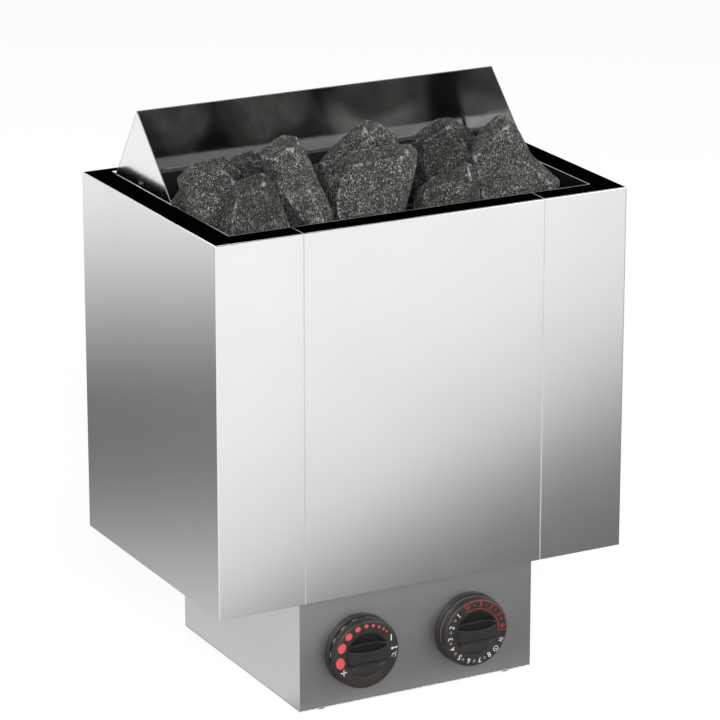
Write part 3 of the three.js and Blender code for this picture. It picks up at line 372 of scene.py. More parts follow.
SHEETS = [
    "left_side_panel", "right_side_panel", "front_panel", "back_panel", "wall_bracket",
    "base_plate", "liner_left", "liner_right", "liner_front", "liner_back", "stone_grate",
    "deflector_hood", "deflector_left_end", "deflector_right_end",
    "box_shell", "box_back", "box_bottom",
]
FLAT_SHEETS = ["box_shell", "deflector_hood", "deflector_left_end", "deflector_right_end"]
RIMMED = ["left_side_panel", "right_side_panel", "front_panel", "back_panel"]
END_PLATES = ["deflector_left_end", "deflector_right_end"]
KNOBS = ["thermostat_knob", "timer_knob"]
LINERS = ["liner_left", "liner_right", "liner_front", "liner_back"]
# The end plates get bright steel; the liners get the near-black copy, which is painted shade.
SHEET_FINISH_AND_PAINTED_SHADE = {**{node: BRIGHT_STEEL for node in END_PLATES}, **{node: LINER_PAINTED_SHADE for node in LINERS}}


def slot_of(node):
    return NODES[node].data.materials[0].name.split(".")[0]


def welded(node):
    """The node's surface as one connected mesh."""
    source = NODES[node].data
    bm = bmesh.new()
    corner = {}
    for vertex in source.vertices:
        key = vertex.co.to_tuple(6)
        if key not in corner:
            corner[key] = bm.verts.new(vertex.co)
    for polygon in source.polygons:
        ring = [corner[source.vertices[i].co.to_tuple(6)] for i in polygon.vertices]
        if len(set(ring)) == len(ring) and bm.faces.get(ring) is None:
            bm.faces.new(ring)
    bm.normal_update()
    return bm


def to_piece(bm, name, body, materials):
    """The mesh as a piece that rides on a body."""
    mesh = bpy.data.meshes.new(name)
    bm.to_mesh(mesh)
    bm.free()
    for material in materials:
        mesh.materials.append(material)
    piece = bpy.data.objects.new(name, mesh)
    SCENE.collection.objects.link(piece)
    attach(piece, body)
    return piece


def sharp_edges(bm):
    return [e for e in bm.edges if len(e.link_faces) == 2 and e.calc_face_angle() > SHARP]


def is_fold(edge):
    """Whether an edge is an outer fold of the casing or of the control box."""
    a, b = (v.co for v in edge.verts)
    casing_side = min(abs(a.x), abs(b.x)) > HALF_WIDTH - NEAR
    casing_front = max(a.y, b.y) < FRONT + NEAR
    at_rim = min(a.z, b.z) > RIM_TOP - NEAR
    if casing_front and casing_side or at_rim and (casing_front or casing_side):
        return True
    on_box = max(a.z, b.z) < RIM_TOP / 2
    box_side = min(abs(a.x), abs(b.x)) > BOX_SIDE - NEAR and max(abs(a.x), abs(b.x)) < BOX_SIDE + NEAR
    box_front = max(a.y, b.y) < BOX_FRONT + NEAR and min(a.y, b.y) > BOX_FRONT - NEAR
    return on_box and box_side and box_front


def at_hood_corner(node, edge):
    """Whether an edge lies where an end of the hood is flush with its end plate."""
    low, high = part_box("deflector_hood")
    if node == "deflector_hood":
        return min(abs(v.co.x) for v in edge.verts) > high.x - 1.5 * MM
    slope = Vector((high.y - low.y, low.z - high.z)).normalized()
    away = [(v.co.y - low.y) * slope.y - (v.co.z - high.z) * slope.x for v in edge.verts]
    return node in END_PLATES and max(abs(a) for a in away) < 2.5 * MM


def rounded(bm, edges, radius, steps):
    if edges:
        bmesh.ops.bevel(bm, geom=edges, offset=radius, segments=steps, profile=0.5,
                        affect="EDGES", clamp_overlap=True)


def on_rim(face):
    """Whether a face belongs to the black top rim: not the outer walls, and not the seams."""
    c = face.calc_center_median()
    inside = abs(c.x) < HALF_WIDTH - RIM_IN and c.y > FRONT + RIM_IN and c.y < BACK - RIM_IN
    seam = abs(abs(c.x) - SEAM) < SEAM_NEAR and abs(face.normal.x) > 0.1
    return c.z > RIM_TOP - RIM_LIP and inside and not seam


def on_box_front(face):
    """Whether a face belongs to the outer front face of the control box."""
    return face.normal.y < -0.9 and face.calc_center_median().y < BOX_FRONT + NEAR


def on_hood_inside(face):
    """Whether a face of an end plate looks into the hood."""
    return face.normal.x * face.calc_center_median().x < 0


def on_ledge(face):
    """Whether a face of the liner looks up at the hood."""
    return face.normal.z > 0.7


def on_front_edge(face):
    """Whether a face is a top edge of the liner in front of the hood."""
    return face.normal.z > 0.7 and face.calc_center_median().y < HOOD_FRONT


def on_seam(face):
    """Whether a face is a cut edge where the front panel meets a side panel."""
    c = face.calc_center_median()
    return c.y < FRONT + RIM_IN and abs(abs(c.x) - SEAM) < SEAM_NEAR


# Finishes of single faces, together with copies of a steel that carry painted light and painted shade.
FACE_FINISHES_AND_PAINTED_LIGHT = {node: [(BLACK_RIM, on_rim), (SEAM_STEEL, on_seam)] for node in RIMMED}
FACE_FINISHES_AND_PAINTED_LIGHT |= {node: [(HOOD_STEEL, on_hood_inside)] for node in END_PLATES}
# The liners' top edges before the hood get the lighter copy: painted highlight.
FACE_FINISHES_AND_PAINTED_LIGHT |= {node: [(LINER_EDGE_PAINTED_HIGHLIGHT, on_front_edge)] for node in LINERS}
# The liner's up-facing faces get the lighter copy: painted light.
FACE_FINISHES_AND_PAINTED_LIGHT["liner_back"] = [(LEDGE_PAINTED_LIGHT, on_ledge)]
# The box front gets the darker copy of the steel: painted shade.
FACE_FINISHES_AND_PAINTED_LIGHT["box_shell"] = [(BOX_FRONT_PAINTED_SHADE, on_box_front)]


def dress_sheet(node):
    """A sheet with its folds rounded and its cut edges broken."""
    bm = welded(node)
    if node not in FLAT_SHEETS:
        bmesh.ops.dissolve_limit(bm, angle_limit=math.radians(0.4), verts=bm.verts, edges=bm.edges)
    rounded(bm, [e for e in sharp_edges(bm) if is_fold(e)], FOLD_RADIUS, 4)
    rounded(bm, [e for e in sharp_edges(bm) if not at_hood_corner(node, e)], EDGE_RADIUS, 2)
    bm.normal_update()
    others = FACE_FINISHES_AND_PAINTED_LIGHT.get(node, [])
    materials = [SHEET_FINISH_AND_PAINTED_SHADE.get(node, FINISH[slot_of(node)])] + [material for material, _ in others]
    for face in bm.faces:
        face.material_index = next((i for i, (_, belongs) in enumerate(others, 1) if belongs(face)), 0)
        face.smooth = node not in FLAT_SHEETS
    piece = to_piece(bm, node + "_sheet", NODES[node]["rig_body"], materials)
    if node not in FLAT_SHEETS:
        even = piece.modifiers.new("even_shading", "WEIGHTED_NORMAL")
        even.mode = "FACE_AREA"
        even.keep_sharp = True
    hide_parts(node)


def dress_round(node):
    """A turned or moulded piece, smooth except at its edges."""
    bm = welded(node)
    for face in bm.faces:
        face.smooth = True
    for edge in bm.edges:
        edge.smooth = len(edge.link_faces) != 2 or edge.calc_face_angle() < SHARP
    # Screws get the near-black metal: partly a dark finish, partly painted shade.
    material = SCREW_DARK_AND_PAINTED_SHADE if "_screw" in node else FINISH[slot_of(node)]
    piece = to_piece(bm, node + "_turned", NODES[node]["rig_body"], [material])
    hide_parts(node)


STONE_WAVES = [(0.9, 34.0), (0.7, 75.0), (0.5, 160.0), (0.3, 330.0)]
STONE_PROUD = 0.8
TOP_STONE_MESH = 1.5 * MM
LOW_STONE_MESH = 3.0 * MM
STONE_WEAR = 3
DARK_STONES = ["stone_front_left", "stone_back_round", "stone_front_small", "stone_behind_left"]
# The stones under the hood are paler: painted light.
PAINTED_LIGHT_STONES = ["stone_under_hood_left", "stone_under_hood_middle", "stone_under_hood_right"]
FLECKED_STONES = ["stone_left", "stone_front_middle"]
# Stone tones that differ by stone, and also the paler copies that carry painted light.
STONE_TONES_AND_PAINTED_LIGHT = dict.fromkeys(DARK_STONES, DARK_STONE)
STONE_TONES_AND_PAINTED_LIGHT |= dict.fromkeys(PAINTED_LIGHT_STONES, PAINTED_LIGHT_STONE)
STONE_TONES_AND_PAINTED_LIGHT |= dict.fromkeys(FLECKED_STONES, FLECKED_STONE)
# The low stone under the hood gets the pale patch of painted light.
STONE_TONES_AND_PAINTED_LIGHT["stone_low_6"] = PAINTED_LIGHT_PATCH_STONE
WORN_FROM, WORN_FULL = 0.86, 0.965
KNOB_MESH = 0.5 * MM
KNOB_WEAR = 5
RECESS_RADIUS = 20.9
RECESS_FOOT = 10.0
RECESS_DEPTH = 5.4
DIAL_FACE = 17.1
BAR_END = 20.2
BAR_TOP = 23.8
BAR_DROP = 5.6
BAR_HALF = 6.5
BAR_WAIST = 1.7
BAR_SPREAD = 1.2


def even_mesh(bm, size):
    """The outside of closed bodies as one mesh of even squares."""
    mesh = bpy.data.meshes.new("body")
    bm.to_mesh(mesh)
    bm.free()
    body = bpy.data.objects.new("body", mesh)
    SCENE.collection.objects.link(body)
    remesh = body.modifiers.new("even", "REMESH")
    remesh.mode = "VOXEL"
    remesh.voxel_size = size
    bpy.context.view_layer.update()
    even = bpy.data.meshes.new_from_object(body.evaluated_get(bpy.context.evaluated_depsgraph_get()))
    result = bmesh.new()
    result.from_mesh(even)
    bpy.data.objects.remove(body)
    bpy.data.meshes.remove(mesh)
    bpy.data.meshes.remove(even)
    return result


def soften(bm, times):
    for again in range(times):
        bmesh.ops.smooth_vert(bm, verts=bm.verts, factor=0.5, use_axis_x=True, use_axis_y=True, use_axis_z=True)
    bm.normal_update()


def note_worn_edges(bm):
    """Keeps, for each vertex, how far it belongs to the sharpest convex edges."""
    bm.verts.index_update()
    bulge = []
    for vertex in bm.verts:
        around = [edge.other_vert(vertex).co for edge in vertex.link_edges]
        bulge.append(sum((vertex.co - co).dot(vertex.normal) for co in around) / len(around))
    wide = []
    for vertex in bm.verts:
        near = [bulge[edge.other_vert(vertex).index] for edge in vertex.link_edges]
        wide.append((bulge[vertex.index] + sum(near)) / (1 + len(near)))
    order = sorted(wide)
    low = order[int(len(order) * WORN_FROM)]
    high = order[int(len(order) * WORN_FULL)]
    layer = bm.verts.layers.float.new(WORN)
    for vertex in bm.verts:
        vertex[layer] = min(1.0, max(0.0, (wide[vertex.index] - low) / (high - low)))


def dress_stone(node, seed, size):
    """A stone with its edges a little worn and a broken, grainy surface."""
    bm = even_mesh(welded(node), size)
    soften(bm, STONE_WEAR)
    note_worn_edges(bm)
    shift = Vector((seed * 3.7, seed * 1.9, seed * 5.3))
    moves = []
    for vertex in bm.verts:
        push = sum(height * noise.noise(vertex.co * pitch + shift) for height, pitch in STONE_WAVES)
        moves.append(vertex.normal * min(push, STONE_PROUD) * MM)
    for vertex, move in zip(bm.verts, moves):
        vertex.co += move
    for face in bm.faces:
        face.smooth = True
    material = STONE_TONES_AND_PAINTED_LIGHT.get(node, STONE)
    piece = to_piece(bm, node + "_rock", NODES[node]["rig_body"], [material])
    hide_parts(node)


def grid_solid(bm, tops, feet):
    """A closed body between two grids of points."""
    rows = [[bm.verts.new(p) for p in row] for row in tops]
    under = [[bm.verts.new(p) for p in row] for row in feet]
    last, side = len(rows) - 1, len(rows[0]) - 1
    made = []
    for i in range(last):
        for j in range(side):
            made.append((rows[i][j], rows[i + 1][j], rows[i + 1][j + 1], rows[i][j + 1]))
            made.append((under[i][j], under[i][j + 1], under[i + 1][j + 1], under[i + 1][j]))
        for j in (0, side):
            made.append((rows[i][j], rows[i + 1][j], under[i + 1][j], under[i][j]))
    for j in range(side):
        for i in (0, last):
            made.append((rows[i][j], rows[i][j + 1], under[i][j + 1], under[i][j]))
    bmesh.ops.recalc_face_normals(bm, faces=[bm.faces.new(ring) for ring in made])


def bar_half(along):
    """Half the width of a dial's bar, which is narrower at its middle."""
    return BAR_HALF - BAR_WAIST * math.cos(math.pi * along / (2 * BAR_END))


def bar_top(along):
    """How far the top of a dial's bar reaches, which falls to the dial's face at both ends."""
    return BAR_TOP - BAR_DROP * min(1.0, abs(along) / BAR_END) ** 4


def shape_dish(bm, axis):
    """A broad bar across a dial's dish, and finger recesses that are deepest beside the bar."""
    def point(along, up, reach):
        return axis + Vector((along, -reach, up)) * MM

    steps = [BAR_END * (i / 8 - 1) for i in range(17)]
    tops, feet = [], []
    for along in steps:
        half = bar_half(along)
        tops.append([point(along, side * half, bar_top(along)) for side in (-1, 1)])
        feet.append([point(along, side * (half + BAR_SPREAD), RECESS_FOOT) for side in (-1, 1)])
    grid_solid(bm, tops, feet)
    for side in (-1, 1):
        tops, feet = [], []
        for along in steps:
            near = bar_half(along) + 0.3
            far = max(near + 0.3, math.sqrt(max(0.0, RECESS_RADIUS ** 2 - along ** 2)))
            ups = [near + (far - near) * j / 6 for j in range(7)]
            sinks = [RECESS_DEPTH * (1 - j / 6) ** 1.3 for j in range(7)]
            tops.append([point(along, side * up, DIAL_FACE - sink) for up, sink in zip(ups, sinks)])
            feet.append([point(along, side * up, RECESS_FOOT) for up in ups])
        grid_solid(bm, tops, feet)


def lower_bar_ends(bm, axis):
    """Brings what stands above the bar's top down to it."""
    for vertex in bm.verts:
        along = (vertex.co.x - axis.x) / MM
        vertex.co.y = max(vertex.co.y, axis.y - bar_top(along) * MM)


def dial_finish(face, axis):
    """Which copy of the dial's black a face has: 0 skirt, 1 recess with painted shade, 2 top of the bar with a
    lighter painted shade.
    """
    c = (face.calc_center_median() - axis) / MM
    if math.hypot(c.x, c.z) > RECESS_RADIUS or -c.y < RECESS_FOOT:
        return 0
    return 2 if -c.y > DIAL_FACE and face.normal.y < -0.7 else 1


def dress_knob(node):
    """A moulded knob, all of whose edges are soft."""
    body = NODES[node]["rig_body"]
    solid = welded(node)
    shape_dish(solid, DIALS[body])
    bm = even_mesh(solid, KNOB_MESH)
    lower_bar_ends(bm, DIALS[body])
    soften(bm, KNOB_WEAR)
    for face in bm.faces:
        face.smooth = True
        face.material_index = dial_finish(face, DIALS[body])
    # Copies of one black plastic: painted shade in the recesses and on the bar.
    shaded_copies = [FINISH[slot_of(node)], RECESS_PAINTED_SHADE, BAR_PAINTED_SHADE]
    piece = to_piece(bm, node + "_moulded", body, shaded_copies)
    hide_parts(node)


def dress_nodes():
    stones = sorted(n for n in NODES if n.startswith("stone_") and n != "stone_grate")
    for node in sorted(NODES):
        if node in SHEETS:
            dress_sheet(node)
        elif node in stones:
            low = node.startswith("stone_low")
            dress_stone(node, stones.index(node), LOW_STONE_MESH if low else TOP_STONE_MESH)
        elif node in KNOBS:
            dress_knob(node)
        else:
            dress_round(node)


# Backing of the seams

SEAM_SINK = 0.22 * MM
BACKING = 0.6 * MM


def box_faces(bm, low, high):
    """A box between two corners."""
    made = bmesh.ops.create_cube(bm, size=1.0)["verts"]
    for vertex in made:
        for axis in range(3):
            middle = (low[axis] + high[axis]) / 2
            vertex.co[axis] = middle + vertex.co[axis] * (high[axis] - low[axis])


def back_seams():
    """Narrow steel strips just under the surface, where the front panel meets the side panels."""
    front_low, front_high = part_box("front_panel")
    for name, side, panel in (("left", -1, "left_side_panel"), ("right", 1, "right_side_panel")):
        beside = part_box(panel)[1].x if side < 0 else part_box(panel)[0].x
        x0, x1 = sorted((side * front_high.x, beside))
        bm = bmesh.new()
        sunk = FRONT + SEAM_SINK
        top = RIM_TOP - SEAM_SINK
        box_faces(bm, (x0, sunk, front_low.z), (x1, sunk + BACKING, top))
        box_faces(bm, (x0, sunk + BACKING, top - BACKING), (x1, front_high.y - SEAM_SINK, top))
        to_piece(bm, name + "_seam_backing", "heater", [SEAM_STEEL])


# Feet of the hood's end plates

FOOT_BEAD = 0.55 * MM
FOOT_BEAD_SIDES = 10


def bead_feet():
    """A round steel bead along the foot of each end plate, where it enters the casing."""
    for node, side in zip(END_PLATES, (-1, 1)):
        low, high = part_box(node)
        x = low.x if side < 0 else high.x
        bm = bmesh.new()
        ends = []
        for y in (low.y + FOOT_BEAD, high.y - FOOT_BEAD):
            ring = []
            for i in range(FOOT_BEAD_SIDES):
                turn = 2 * math.pi * i / FOOT_BEAD_SIDES
                z = RIM_TOP + FOOT_BEAD * (1 + math.sin(turn))
                ring.append(bm.verts.new((x + side * FOOT_BEAD * math.cos(turn), y, z)))
            ends.append(ring)
        near, far = ends
        for i in range(FOOT_BEAD_SIDES):
            j = (i + 1) % FOOT_BEAD_SIDES
            bm.faces.new((near[i], near[j], far[j], far[i]))
        bm.faces.new(near)
        bm.faces.new(far)
        bmesh.ops.recalc_face_normals(bm, faces=bm.faces)
        for face in bm.faces:
            face.smooth = len(face.verts) == 4
        to_piece(bm, node + "_foot_bead", "heater", [BRIGHT_STEEL])


# Marks on the dials

FACE_REACH = 17.2
SKIRT_RADIUS = 33.2
SKIRT_ROUND = 4.0
SKIRT_WALL_END = 14.0
NECK_RADIUS = 32.0
MARK_LIFT = 0.10
RING = 27.2


def face_reach(radius):
    """How far the dial's face stands out from the box at this radius, in mm."""
    over = (radius - (SKIRT_RADIUS - SKIRT_ROUND)) / SKIRT_ROUND
    if over <= 0:
        return FACE_REACH
    rise = math.sqrt(max(0.0, 1 - over * over))
    return SKIRT_WALL_END + (FACE_REACH - SKIRT_WALL_END) * rise


def dial_point(dial, radius, angle, reach):
    """A point by radius and reach in mm, and degrees anticlockwise from three o'clock."""
    turn = math.radians(angle)
    return DIALS[dial] + Vector((radius * math.cos(turn), -reach, radius * math.sin(turn))) * MM


def on_face(dial, radius, angle):
    return dial_point(dial, radius, angle, face_reach(radius) + MARK_LIFT)


def lay(bm, dial, shape, radius, angle):
    """Lays a flat shape on a dial's face, with its own up pointing away from the axis."""
    points, faces = shape
    made = [bm.verts.new(on_face(dial, radius + v, angle - math.degrees(u / radius))) for u, v in points]
    for face in faces:
        bm.faces.new([made[i] for i in face])


def rings(sizes, steps):
    """Concentric ellipses from the outside in, joined by faces: a last size of 0 closes the middle."""
    points, faces = [], []
    for width, height in sizes:
        for i in range(steps):
            turn = 2 * math.pi * i / steps
            points.append((width / 2 * math.cos(turn), height / 2 * math.sin(turn)))
    for k in range(len(sizes) - 1):
        for i in range(steps):
            j = (i + 1) % steps
            faces.append((k * steps + i, k * steps + j, (k + 1) * steps + j, (k + 1) * steps + i))
    return points, faces


def disc(width, height):
    points, faces = rings([(width, height), (width * 0.55, height * 0.55)], 28)
    points.append((0.0, 0.0))
    faces += [(28 + i, 28 + (i + 1) % 28, 56) for i in range(28)]
    return points, faces


def loop(width, stroke):
    inner = width - 2 * stroke
    return rings([(width, width), (inner, inner)], 24)


def stroke(path, width):
    """A ribbon along a path."""
    points, faces = [], []
    for i, (x, y) in enumerate(path):
        ahead = path[min(i + 1, len(path) - 1)]
        behind = path[max(i - 1, 0)]
        along = Vector((ahead[0] - behind[0], ahead[1] - behind[1])).normalized()
        side = Vector((-along.y, along.x)) * width / 2
        points += [(x - side.x, y - side.y), (x + side.x, y + side.y)]
        if i:
            faces.append((2 * i - 2, 2 * i, 2 * i + 1, 2 * i - 1))
    return points, faces


def line(x0, y0, x1, y1, width):
    steps = 6
    path = [(x0 + (x1 - x0) * i / steps, y0 + (y1 - y0) * i / steps) for i in range(steps + 1)]
    return stroke(path, width)


def moved(shape, dx, dy):
    points, faces = shape
    return [(x + dx, y + dy) for x, y in points], faces


def turned(shape, degrees):
    """A flat shape turned anticlockwise."""
    points, faces = shape
    c, s = math.cos(math.radians(degrees)), math.sin(math.radians(degrees))
    return [(x * c - y * s, x * s + y * c) for x, y in points], faces


def together(*shapes):
    points, faces = [], []
    for own, own_faces in shapes:
        start = len(points)
        points += own
        faces += [tuple(i + start for i in face) for face in own_faces]
    return points, faces


def glyph(letter, height, weight=0.0):
    """A figure from the built-in font, centred and scaled to this height in mm."""
    curve = bpy.data.curves.new("glyph", "FONT")
    curve.body = letter
    curve.resolution_u = 3
    curve.offset = weight
    text = bpy.data.objects.new("glyph", curve)
    SCENE.collection.objects.link(text)
    bpy.context.view_layer.update()
    mesh = bpy.data.meshes.new_from_object(text.evaluated_get(bpy.context.evaluated_depsgraph_get()))
    bm = bmesh.new()
    bm.from_mesh(mesh)
    bmesh.ops.remove_doubles(bm, verts=bm.verts, dist=1e-5)
    bmesh.ops.triangulate(bm, faces=bm.faces)
    bm.verts.index_update()
    xs = [v.co.x for v in bm.verts]
    ys = [v.co.y for v in bm.verts]
    size = height / (max(ys) - min(ys))
    middle = ((max(xs) + min(xs)) / 2, (max(ys) + min(ys)) / 2)
    points = [((v.co.x - middle[0]) * size, (v.co.y - middle[1]) * size) for v in bm.verts]
    faces = []
    for face in bm.faces:
        ring = [v.index for v in face.verts]
        faces.append(ring if face.normal.z > 0 else ring[::-1])
    bm.free()
    bpy.data.objects.remove(text)
    bpy.data.curves.remove(curve)
    bpy.data.meshes.remove(mesh)
    return points, faces


def arc_band(bm, dial, inner, outer, start, end):
    """A band along the dial's face between two radii and two angles."""
    steps = max(2, int(abs(end - start) / 3))
    rows = []
    for i in range(steps + 1):
        angle = start + (end - start) * i / steps
        rows.append((bm.verts.new(on_face(dial, inner, angle)), bm.verts.new(on_face(dial, outer, angle))))
    for (a, b), (c, d) in zip(rows, rows[1:]):
        bm.faces.new((b, a, c, d) if end < start else (a, b, d, c))


def neck_band(bm, dial, near, far, start, end):
    """A thin band round the knob's neck between two reaches: a painted highlight."""
    steps = max(2, int(abs(end - start) / 3))
    radius = NECK_RADIUS + 0.25
    rows = []
    for i in range(steps + 1):
        angle = start + (end - start) * i / steps
        rows.append([bm.verts.new(dial_point(dial, radius, angle, reach)) for reach in (near, far)])
    for (a, b), (c, d) in zip(rows, rows[1:]):
        bm.faces.new((a, b, d, c))


def mark_piece(name, dial, material, draw):
    bm = bmesh.new()
    draw(bm, dial)
    bmesh.ops.recalc_face_normals(bm, faces=bm.faces)
    for face in bm.faces:
        face.smooth = True
    to_piece(bm, name, dial, [material])


HEAT_DOTS = [
    (43.9, 2.0, 2.1), (52.5, 2.3, 2.4), (63.8, 2.7, 2.7), (76.7, 3.2, 3.1), (91.8, 4.1, 3.6),
    (110.0, 5.7, 4.9), (132.5, 7.6, 6.3), (158.1, 9.6, 7.6), (188.3, 11.0, 8.6),
]
PLUS_AT = 209.8
MINUS_AT = 26.1
THERMOMETER_AT = 3.3
CELSIUS_AT = -10.1
HOURS = [133.3, 160.2, 183.5, 205.5, 230.1, 252.7, 277.5, 299.6]
HALF_HOURS = [145.1, 169.8, 192.6, 217.0, 239.4, 265.4, 288.1]
CLOCK_AT = 316.8
STEAM_AT = 336.7
HEATING = [(5.1, "0"), (30.8, "1"), (56.7, "2"), (81.4, "3"), (108.7, "4")]
HEATING_HALVES = [19.6, 43.4, 69.0, 94.3]
BAND_START, BAND_END = 114.0, -4.0
BAND_INNER, BAND_OUTER = 23.0, 31.2
FIGURE = 5.0
SMALL_FIGURE = 4.4
BAND_LINE = 0.42


def draw_heat_dots(bm, dial):
    for angle, width, height in HEAT_DOTS:
        lay(bm, dial, disc(width, height), RING, angle)


def draw_heat_signs(bm, dial):
    plus = together(line(-3.1, 0, 3.1, 0, 1.0), line(0, -3.1, 0, 3.1, 1.0))
    lay(bm, dial, turned(plus, -PLUS_AT), RING, PLUS_AT)
    lay(bm, dial, turned(line(-3.0, 0, 3.0, 0, 1.05), -MINUS_AT), RING, MINUS_AT)
    bulb = together(moved(disc(2.6, 2.6), 0, -2.2), line(0, -1.6, 0, 3.2, 1.0), line(-1.3, 2.0, 1.3, 2.0, 0.5))
    lay(bm, dial, bulb, RING + 0.6, THERMOMETER_AT)
    lay(bm, dial, moved(glyph("C", 4.2, 0.01), 0.4, 0), RING + 0.4, CELSIUS_AT)
    lay(bm, dial, moved(loop(1.5, 0.4), -2.1, 1.9), RING + 0.4, CELSIUS_AT)


def draw_hours(bm, dial):
    for number, angle in enumerate(HOURS, 1):
        lay(bm, dial, glyph(str(number), FIGURE, 0.004), RING, angle)
    face = together(loop(5.4, 0.55), line(0, 0, 0, 1.9, 0.5), line(0, 0, 1.2, -0.9, 0.5))
    lay(bm, dial, face, RING + 0.6, CLOCK_AT)
    waves = []
    for x in (-1.5, 0.0, 1.5):
        path = [(x + 0.45 * math.sin(t * 1.25), -2.2 + t * 0.55) for t in range(9)]
        waves.append(stroke(path, 0.42))
    lay(bm, dial, together(*waves), RING + 0.8, STEAM_AT)


def draw_half_hours(bm, dial):
    for angle in HALF_HOURS:
        lay(bm, dial, loop(2.5, 0.6), RING, angle)


def draw_heating(bm, dial):
    for angle, figure in HEATING:
        lay(bm, dial, glyph(figure, SMALL_FIGURE, 0.004), RING, angle)
    for angle in HEATING_HALVES:
        lay(bm, dial, loop(1.7, 0.4), RING, angle)
    arc_band(bm, dial, BAND_INNER, BAND_INNER + BAND_LINE, BAND_START, BAND_END)
    arc_band(bm, dial, BAND_OUTER - BAND_LINE, BAND_OUTER, BAND_START, BAND_END)
    for end in (BAND_START, BAND_END):
        side = line(0, BAND_INNER - RING, 0, BAND_OUTER - RING, BAND_LINE)
        lay(bm, dial, side, RING, end)


# Painted highlights round the knobs' necks.
def draw_neck_dashes(bm, dial):
    for k in range(15):
        neck_band(bm, dial, 7.0, 9.0, 24.0 * k + 3.0, 24.0 * k + 12.0)


def draw_neck_ring(bm, dial):
    neck_band(bm, dial, 6.9, 9.2, 0.0, 360.0)


def mark_dials():
    mark_piece("thermostat_red_dots", "thermostat_dial", MARK_RED, draw_heat_dots)
    mark_piece("thermostat_signs", "thermostat_dial", MARK_WHITE, draw_heat_signs)
    mark_piece("thermostat_neck_highlight_dashes", "thermostat_dial", NECK_DASH_PAINTED_HIGHLIGHT, draw_neck_dashes)
    mark_piece("timer_hours", "timer_dial", MARK_WHITE, draw_hours)
    mark_piece("timer_half_hours", "timer_dial", MARK_GREY, draw_half_hours)
    mark_piece("timer_heating_band", "timer_dial", THIN_RED, draw_heating)
    mark_piece("timer_neck_highlight_ring", "timer_dial", NECK_RING_PAINTED_HIGHLIGHT, draw_neck_ring)


# Stage and light

FLOOR_Z = -0.0008
CARD_Z = -0.0004
FLOOR_GLOW = 0.82
FLOOR_LIT = 0.30
SKY_FILL = 0.62
SKY_TOP = 0.30
SKY_FALL = (0.15, 0.85)

# Brightness of the floor cards that the steel mirrors, by distance from a line, in metres
FRONT_LINE = (-0.533, -0.846, -0.385)
FRONT_SHADES = [
    (-0.26, 0.16), (-0.18, 0.175), (-0.12, 0.215), (-0.06, 0.37), (0.0, 0.625), (0.06, 0.80),
    (0.12, 0.88), (0.30, 0.98), (0.46, 1.06),
]
SIDE_LINE = (-0.41, 0.91, 0.0)
SIDE_SHADES = [
    (0.05, 0.62), (0.27, 0.57), (0.45, 0.40), (0.56, 0.29), (0.68, 0.215), (0.80, 0.185),
    (0.90, 0.170), (1.03, 0.225), (1.18, 0.37), (1.34, 0.53), (1.50, 0.69), (1.70, 0.90), (1.90, 1.0),
]
CARD_SPLIT = (-0.17, -0.07)


def flat_sheet(name, x0, x1, y0, y1, z, material):
    mesh = bpy.data.meshes.new(name)
    mesh.from_pydata([(x0, y0, z), (x1, y0, z), (x1, y1, z), (x0, y1, z)], [], [(0, 1, 2, 3)])
    mesh.materials.append(material)
    sheet = bpy.data.objects.new(name, mesh)
    SCENE.collection.objects.link(sheet)
    return sheet


def mirrored_only(sheet):
    """A card that only reflections see."""
    sheet.visible_camera = False
    sheet.visible_diffuse = False
    sheet.visible_shadow = False
    sheet.visible_transmission = False
    sheet.visible_volume_scatter = False


def seen_directly(tree):
    """1 for what the camera sees itself, in metal or through glass."""
    path = add(tree, "LightPath")
    either = maths(tree, "MAXIMUM", path.outputs["Is Camera Ray"], path.outputs["Is Glossy Ray"])
    return maths(tree, "MAXIMUM", either, path.outputs["Is Transmission Ray"])


def floor_material():
    """Pale floor: nearly white to look at, darker where the object shades it."""
    material, tree = new_material("pale_floor")
    lit = add(tree, "BsdfDiffuse", {"Color": (0.80, 0.80, 0.80, 1.0)})
    faint = add(tree, "BsdfDiffuse", {"Color": (FLOOR_LIT, FLOOR_LIT, FLOOR_LIT, 1.0)})
    glow = add(tree, "Emission", {"Color": (1.0, 1.0, 1.0, 1.0), "Strength": FLOOR_GLOW})
    shown = add(tree, "AddShader", {0: faint.outputs[0], 1: glow.outputs[0]})
    top = add(tree, "MixShader", {0: seen_directly(tree), 1: lit.outputs[0], 2: shown.outputs[0]})
    below = add(tree, "BsdfTransparent")
    behind = add(tree, "NewGeometry").outputs["Backfacing"]
    both = add(tree, "MixShader", {0: behind, 1: top.outputs[0], 2: below.outputs[0]})
    close(tree, both.outputs[0])
    return material


def shade_by_line(tree, x, y, line, shades):
    """Grey from a table by the distance of a floor point from a line."""
    along = maths(tree, "MULTIPLY", x, line[0])
    across = maths(tree, "MULTIPLY", y, line[1])
    distance = maths(tree, "ADD", maths(tree, "ADD", along, across), line[2])
    low, high = shades[0][0], shades[-1][0]
    stops = [((at - low) / (high - low), grey) for at, grey in shades]
    return ramp(tree, span(tree, distance, low, high), stops)


def card_material():
    """Graded card that glows, a painted reflection of a shaded floor: its shade changes along one line before the
    heater and another beside it.
    """
    material, tree = new_material("painted_reflection_card")
    axes = add(tree, "SeparateXYZ", {0: add(tree, "TexCoord").outputs["Object"]}).outputs
    away = maths(tree, "MULTIPLY", maths(tree, "ABSOLUTE", axes[0], 0.0), -1.0)
    ahead = shade_by_line(tree, axes[0], axes[1], FRONT_LINE, FRONT_SHADES)
    beside = shade_by_line(tree, away, axes[1], SIDE_LINE, SIDE_SHADES)
    which = span(tree, axes[1], *CARD_SPLIT)
    shade = blend(tree, which, ahead, beside)
    close(tree, add(tree, "Emission", {"Color": shade, "Strength": 1.0}).outputs[0])
    return material


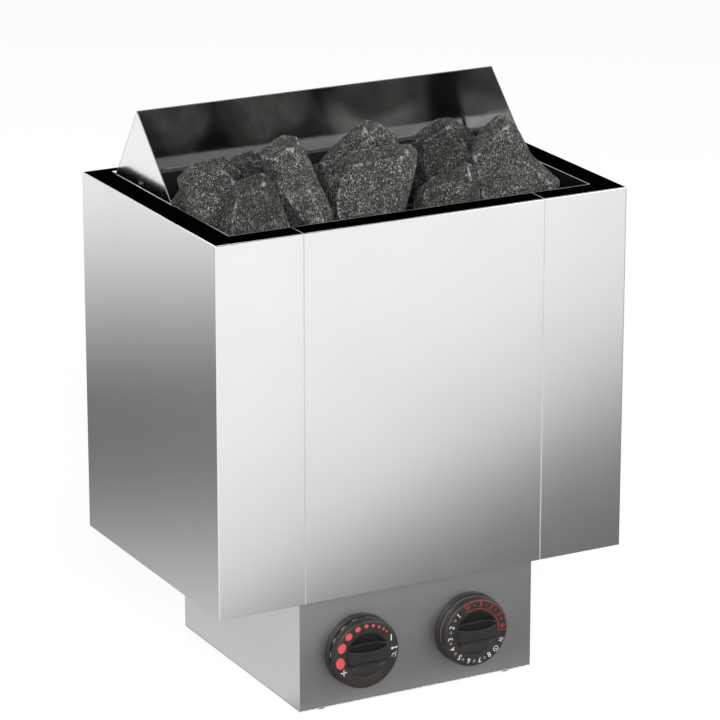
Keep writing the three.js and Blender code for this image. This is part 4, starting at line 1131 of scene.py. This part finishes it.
def make_world():
    world = bpy.data.worlds.new("studio")
    world.use_nodes = True
    tree = world.node_tree
    tree.nodes.clear()
    up = add(tree, "SeparateXYZ", {0: add(tree, "TexCoord").outputs["Generated"]}).outputs[2]
    path = add(tree, "LightPath")
    fill = add(tree, "Background", {"Strength": span(tree, up, *SKY_FALL, SKY_FILL, SKY_FILL * SKY_TOP)})
    mirrored = add(tree, "Background", {"Strength": span(tree, up, *SKY_FALL, 1.0, SKY_TOP)})
    white = add(tree, "Background", {"Strength": 1.0})
    for shade in (fill, mirrored, white):
        shade.inputs["Color"].default_value = (1.0, 1.0, 1.0, 1.0)
    soft = add(tree, "MixShader", {0: path.outputs["Is Glossy Ray"], 1: fill.outputs[0], 2: mirrored.outputs[0]})
    seen = maths(tree, "MAXIMUM", path.outputs["Is Camera Ray"], path.outputs["Is Transmission Ray"])
    mix = add(tree, "MixShader", {0: seen, 1: soft.outputs[0], 2: white.outputs[0]})
    add(tree, "OutputWorld", {"Surface": mix.outputs[0]})
    SCENE.world = world


LAMPS = [
    ("key_lamp", (-1.3, -2.7, 1.5), 1.5, 66.0),
    ("fill_lamp", (2.0, -1.9, 1.2), 1.6, 24.0),
    ("back_lamp", (0.5, 2.0, 2.2), 1.4, 12.0),
]
LAMP_AIM = Vector((0.0, 0.0, 0.30))


def make_lamps():
    for name, spot, size, power in LAMPS:
        data = bpy.data.lights.new(name, "AREA")
        data.shape = "DISK"
        data.size = size
        data.energy = power
        lamp = bpy.data.objects.new(name, data)
        lamp.location = spot
        lamp.rotation_euler = (LAMP_AIM - lamp.location).to_track_quat("-Z", "Y").to_euler()
        SCENE.collection.objects.link(lamp)


def make_stage():
    flat_sheet("floor", -9.0, 9.0, -9.0, 9.0, FLOOR_Z, floor_material())
    mirrored_only(flat_sheet("floor_card", -3.0, 3.0, -3.4, 3.4, CARD_Z, card_material()))
    make_world()
    make_lamps()


# The scene

SCENE.view_settings.view_transform = "Standard"
make_camera()
dress_nodes()
back_seams()
bead_feet()
mark_dials()
make_stage()
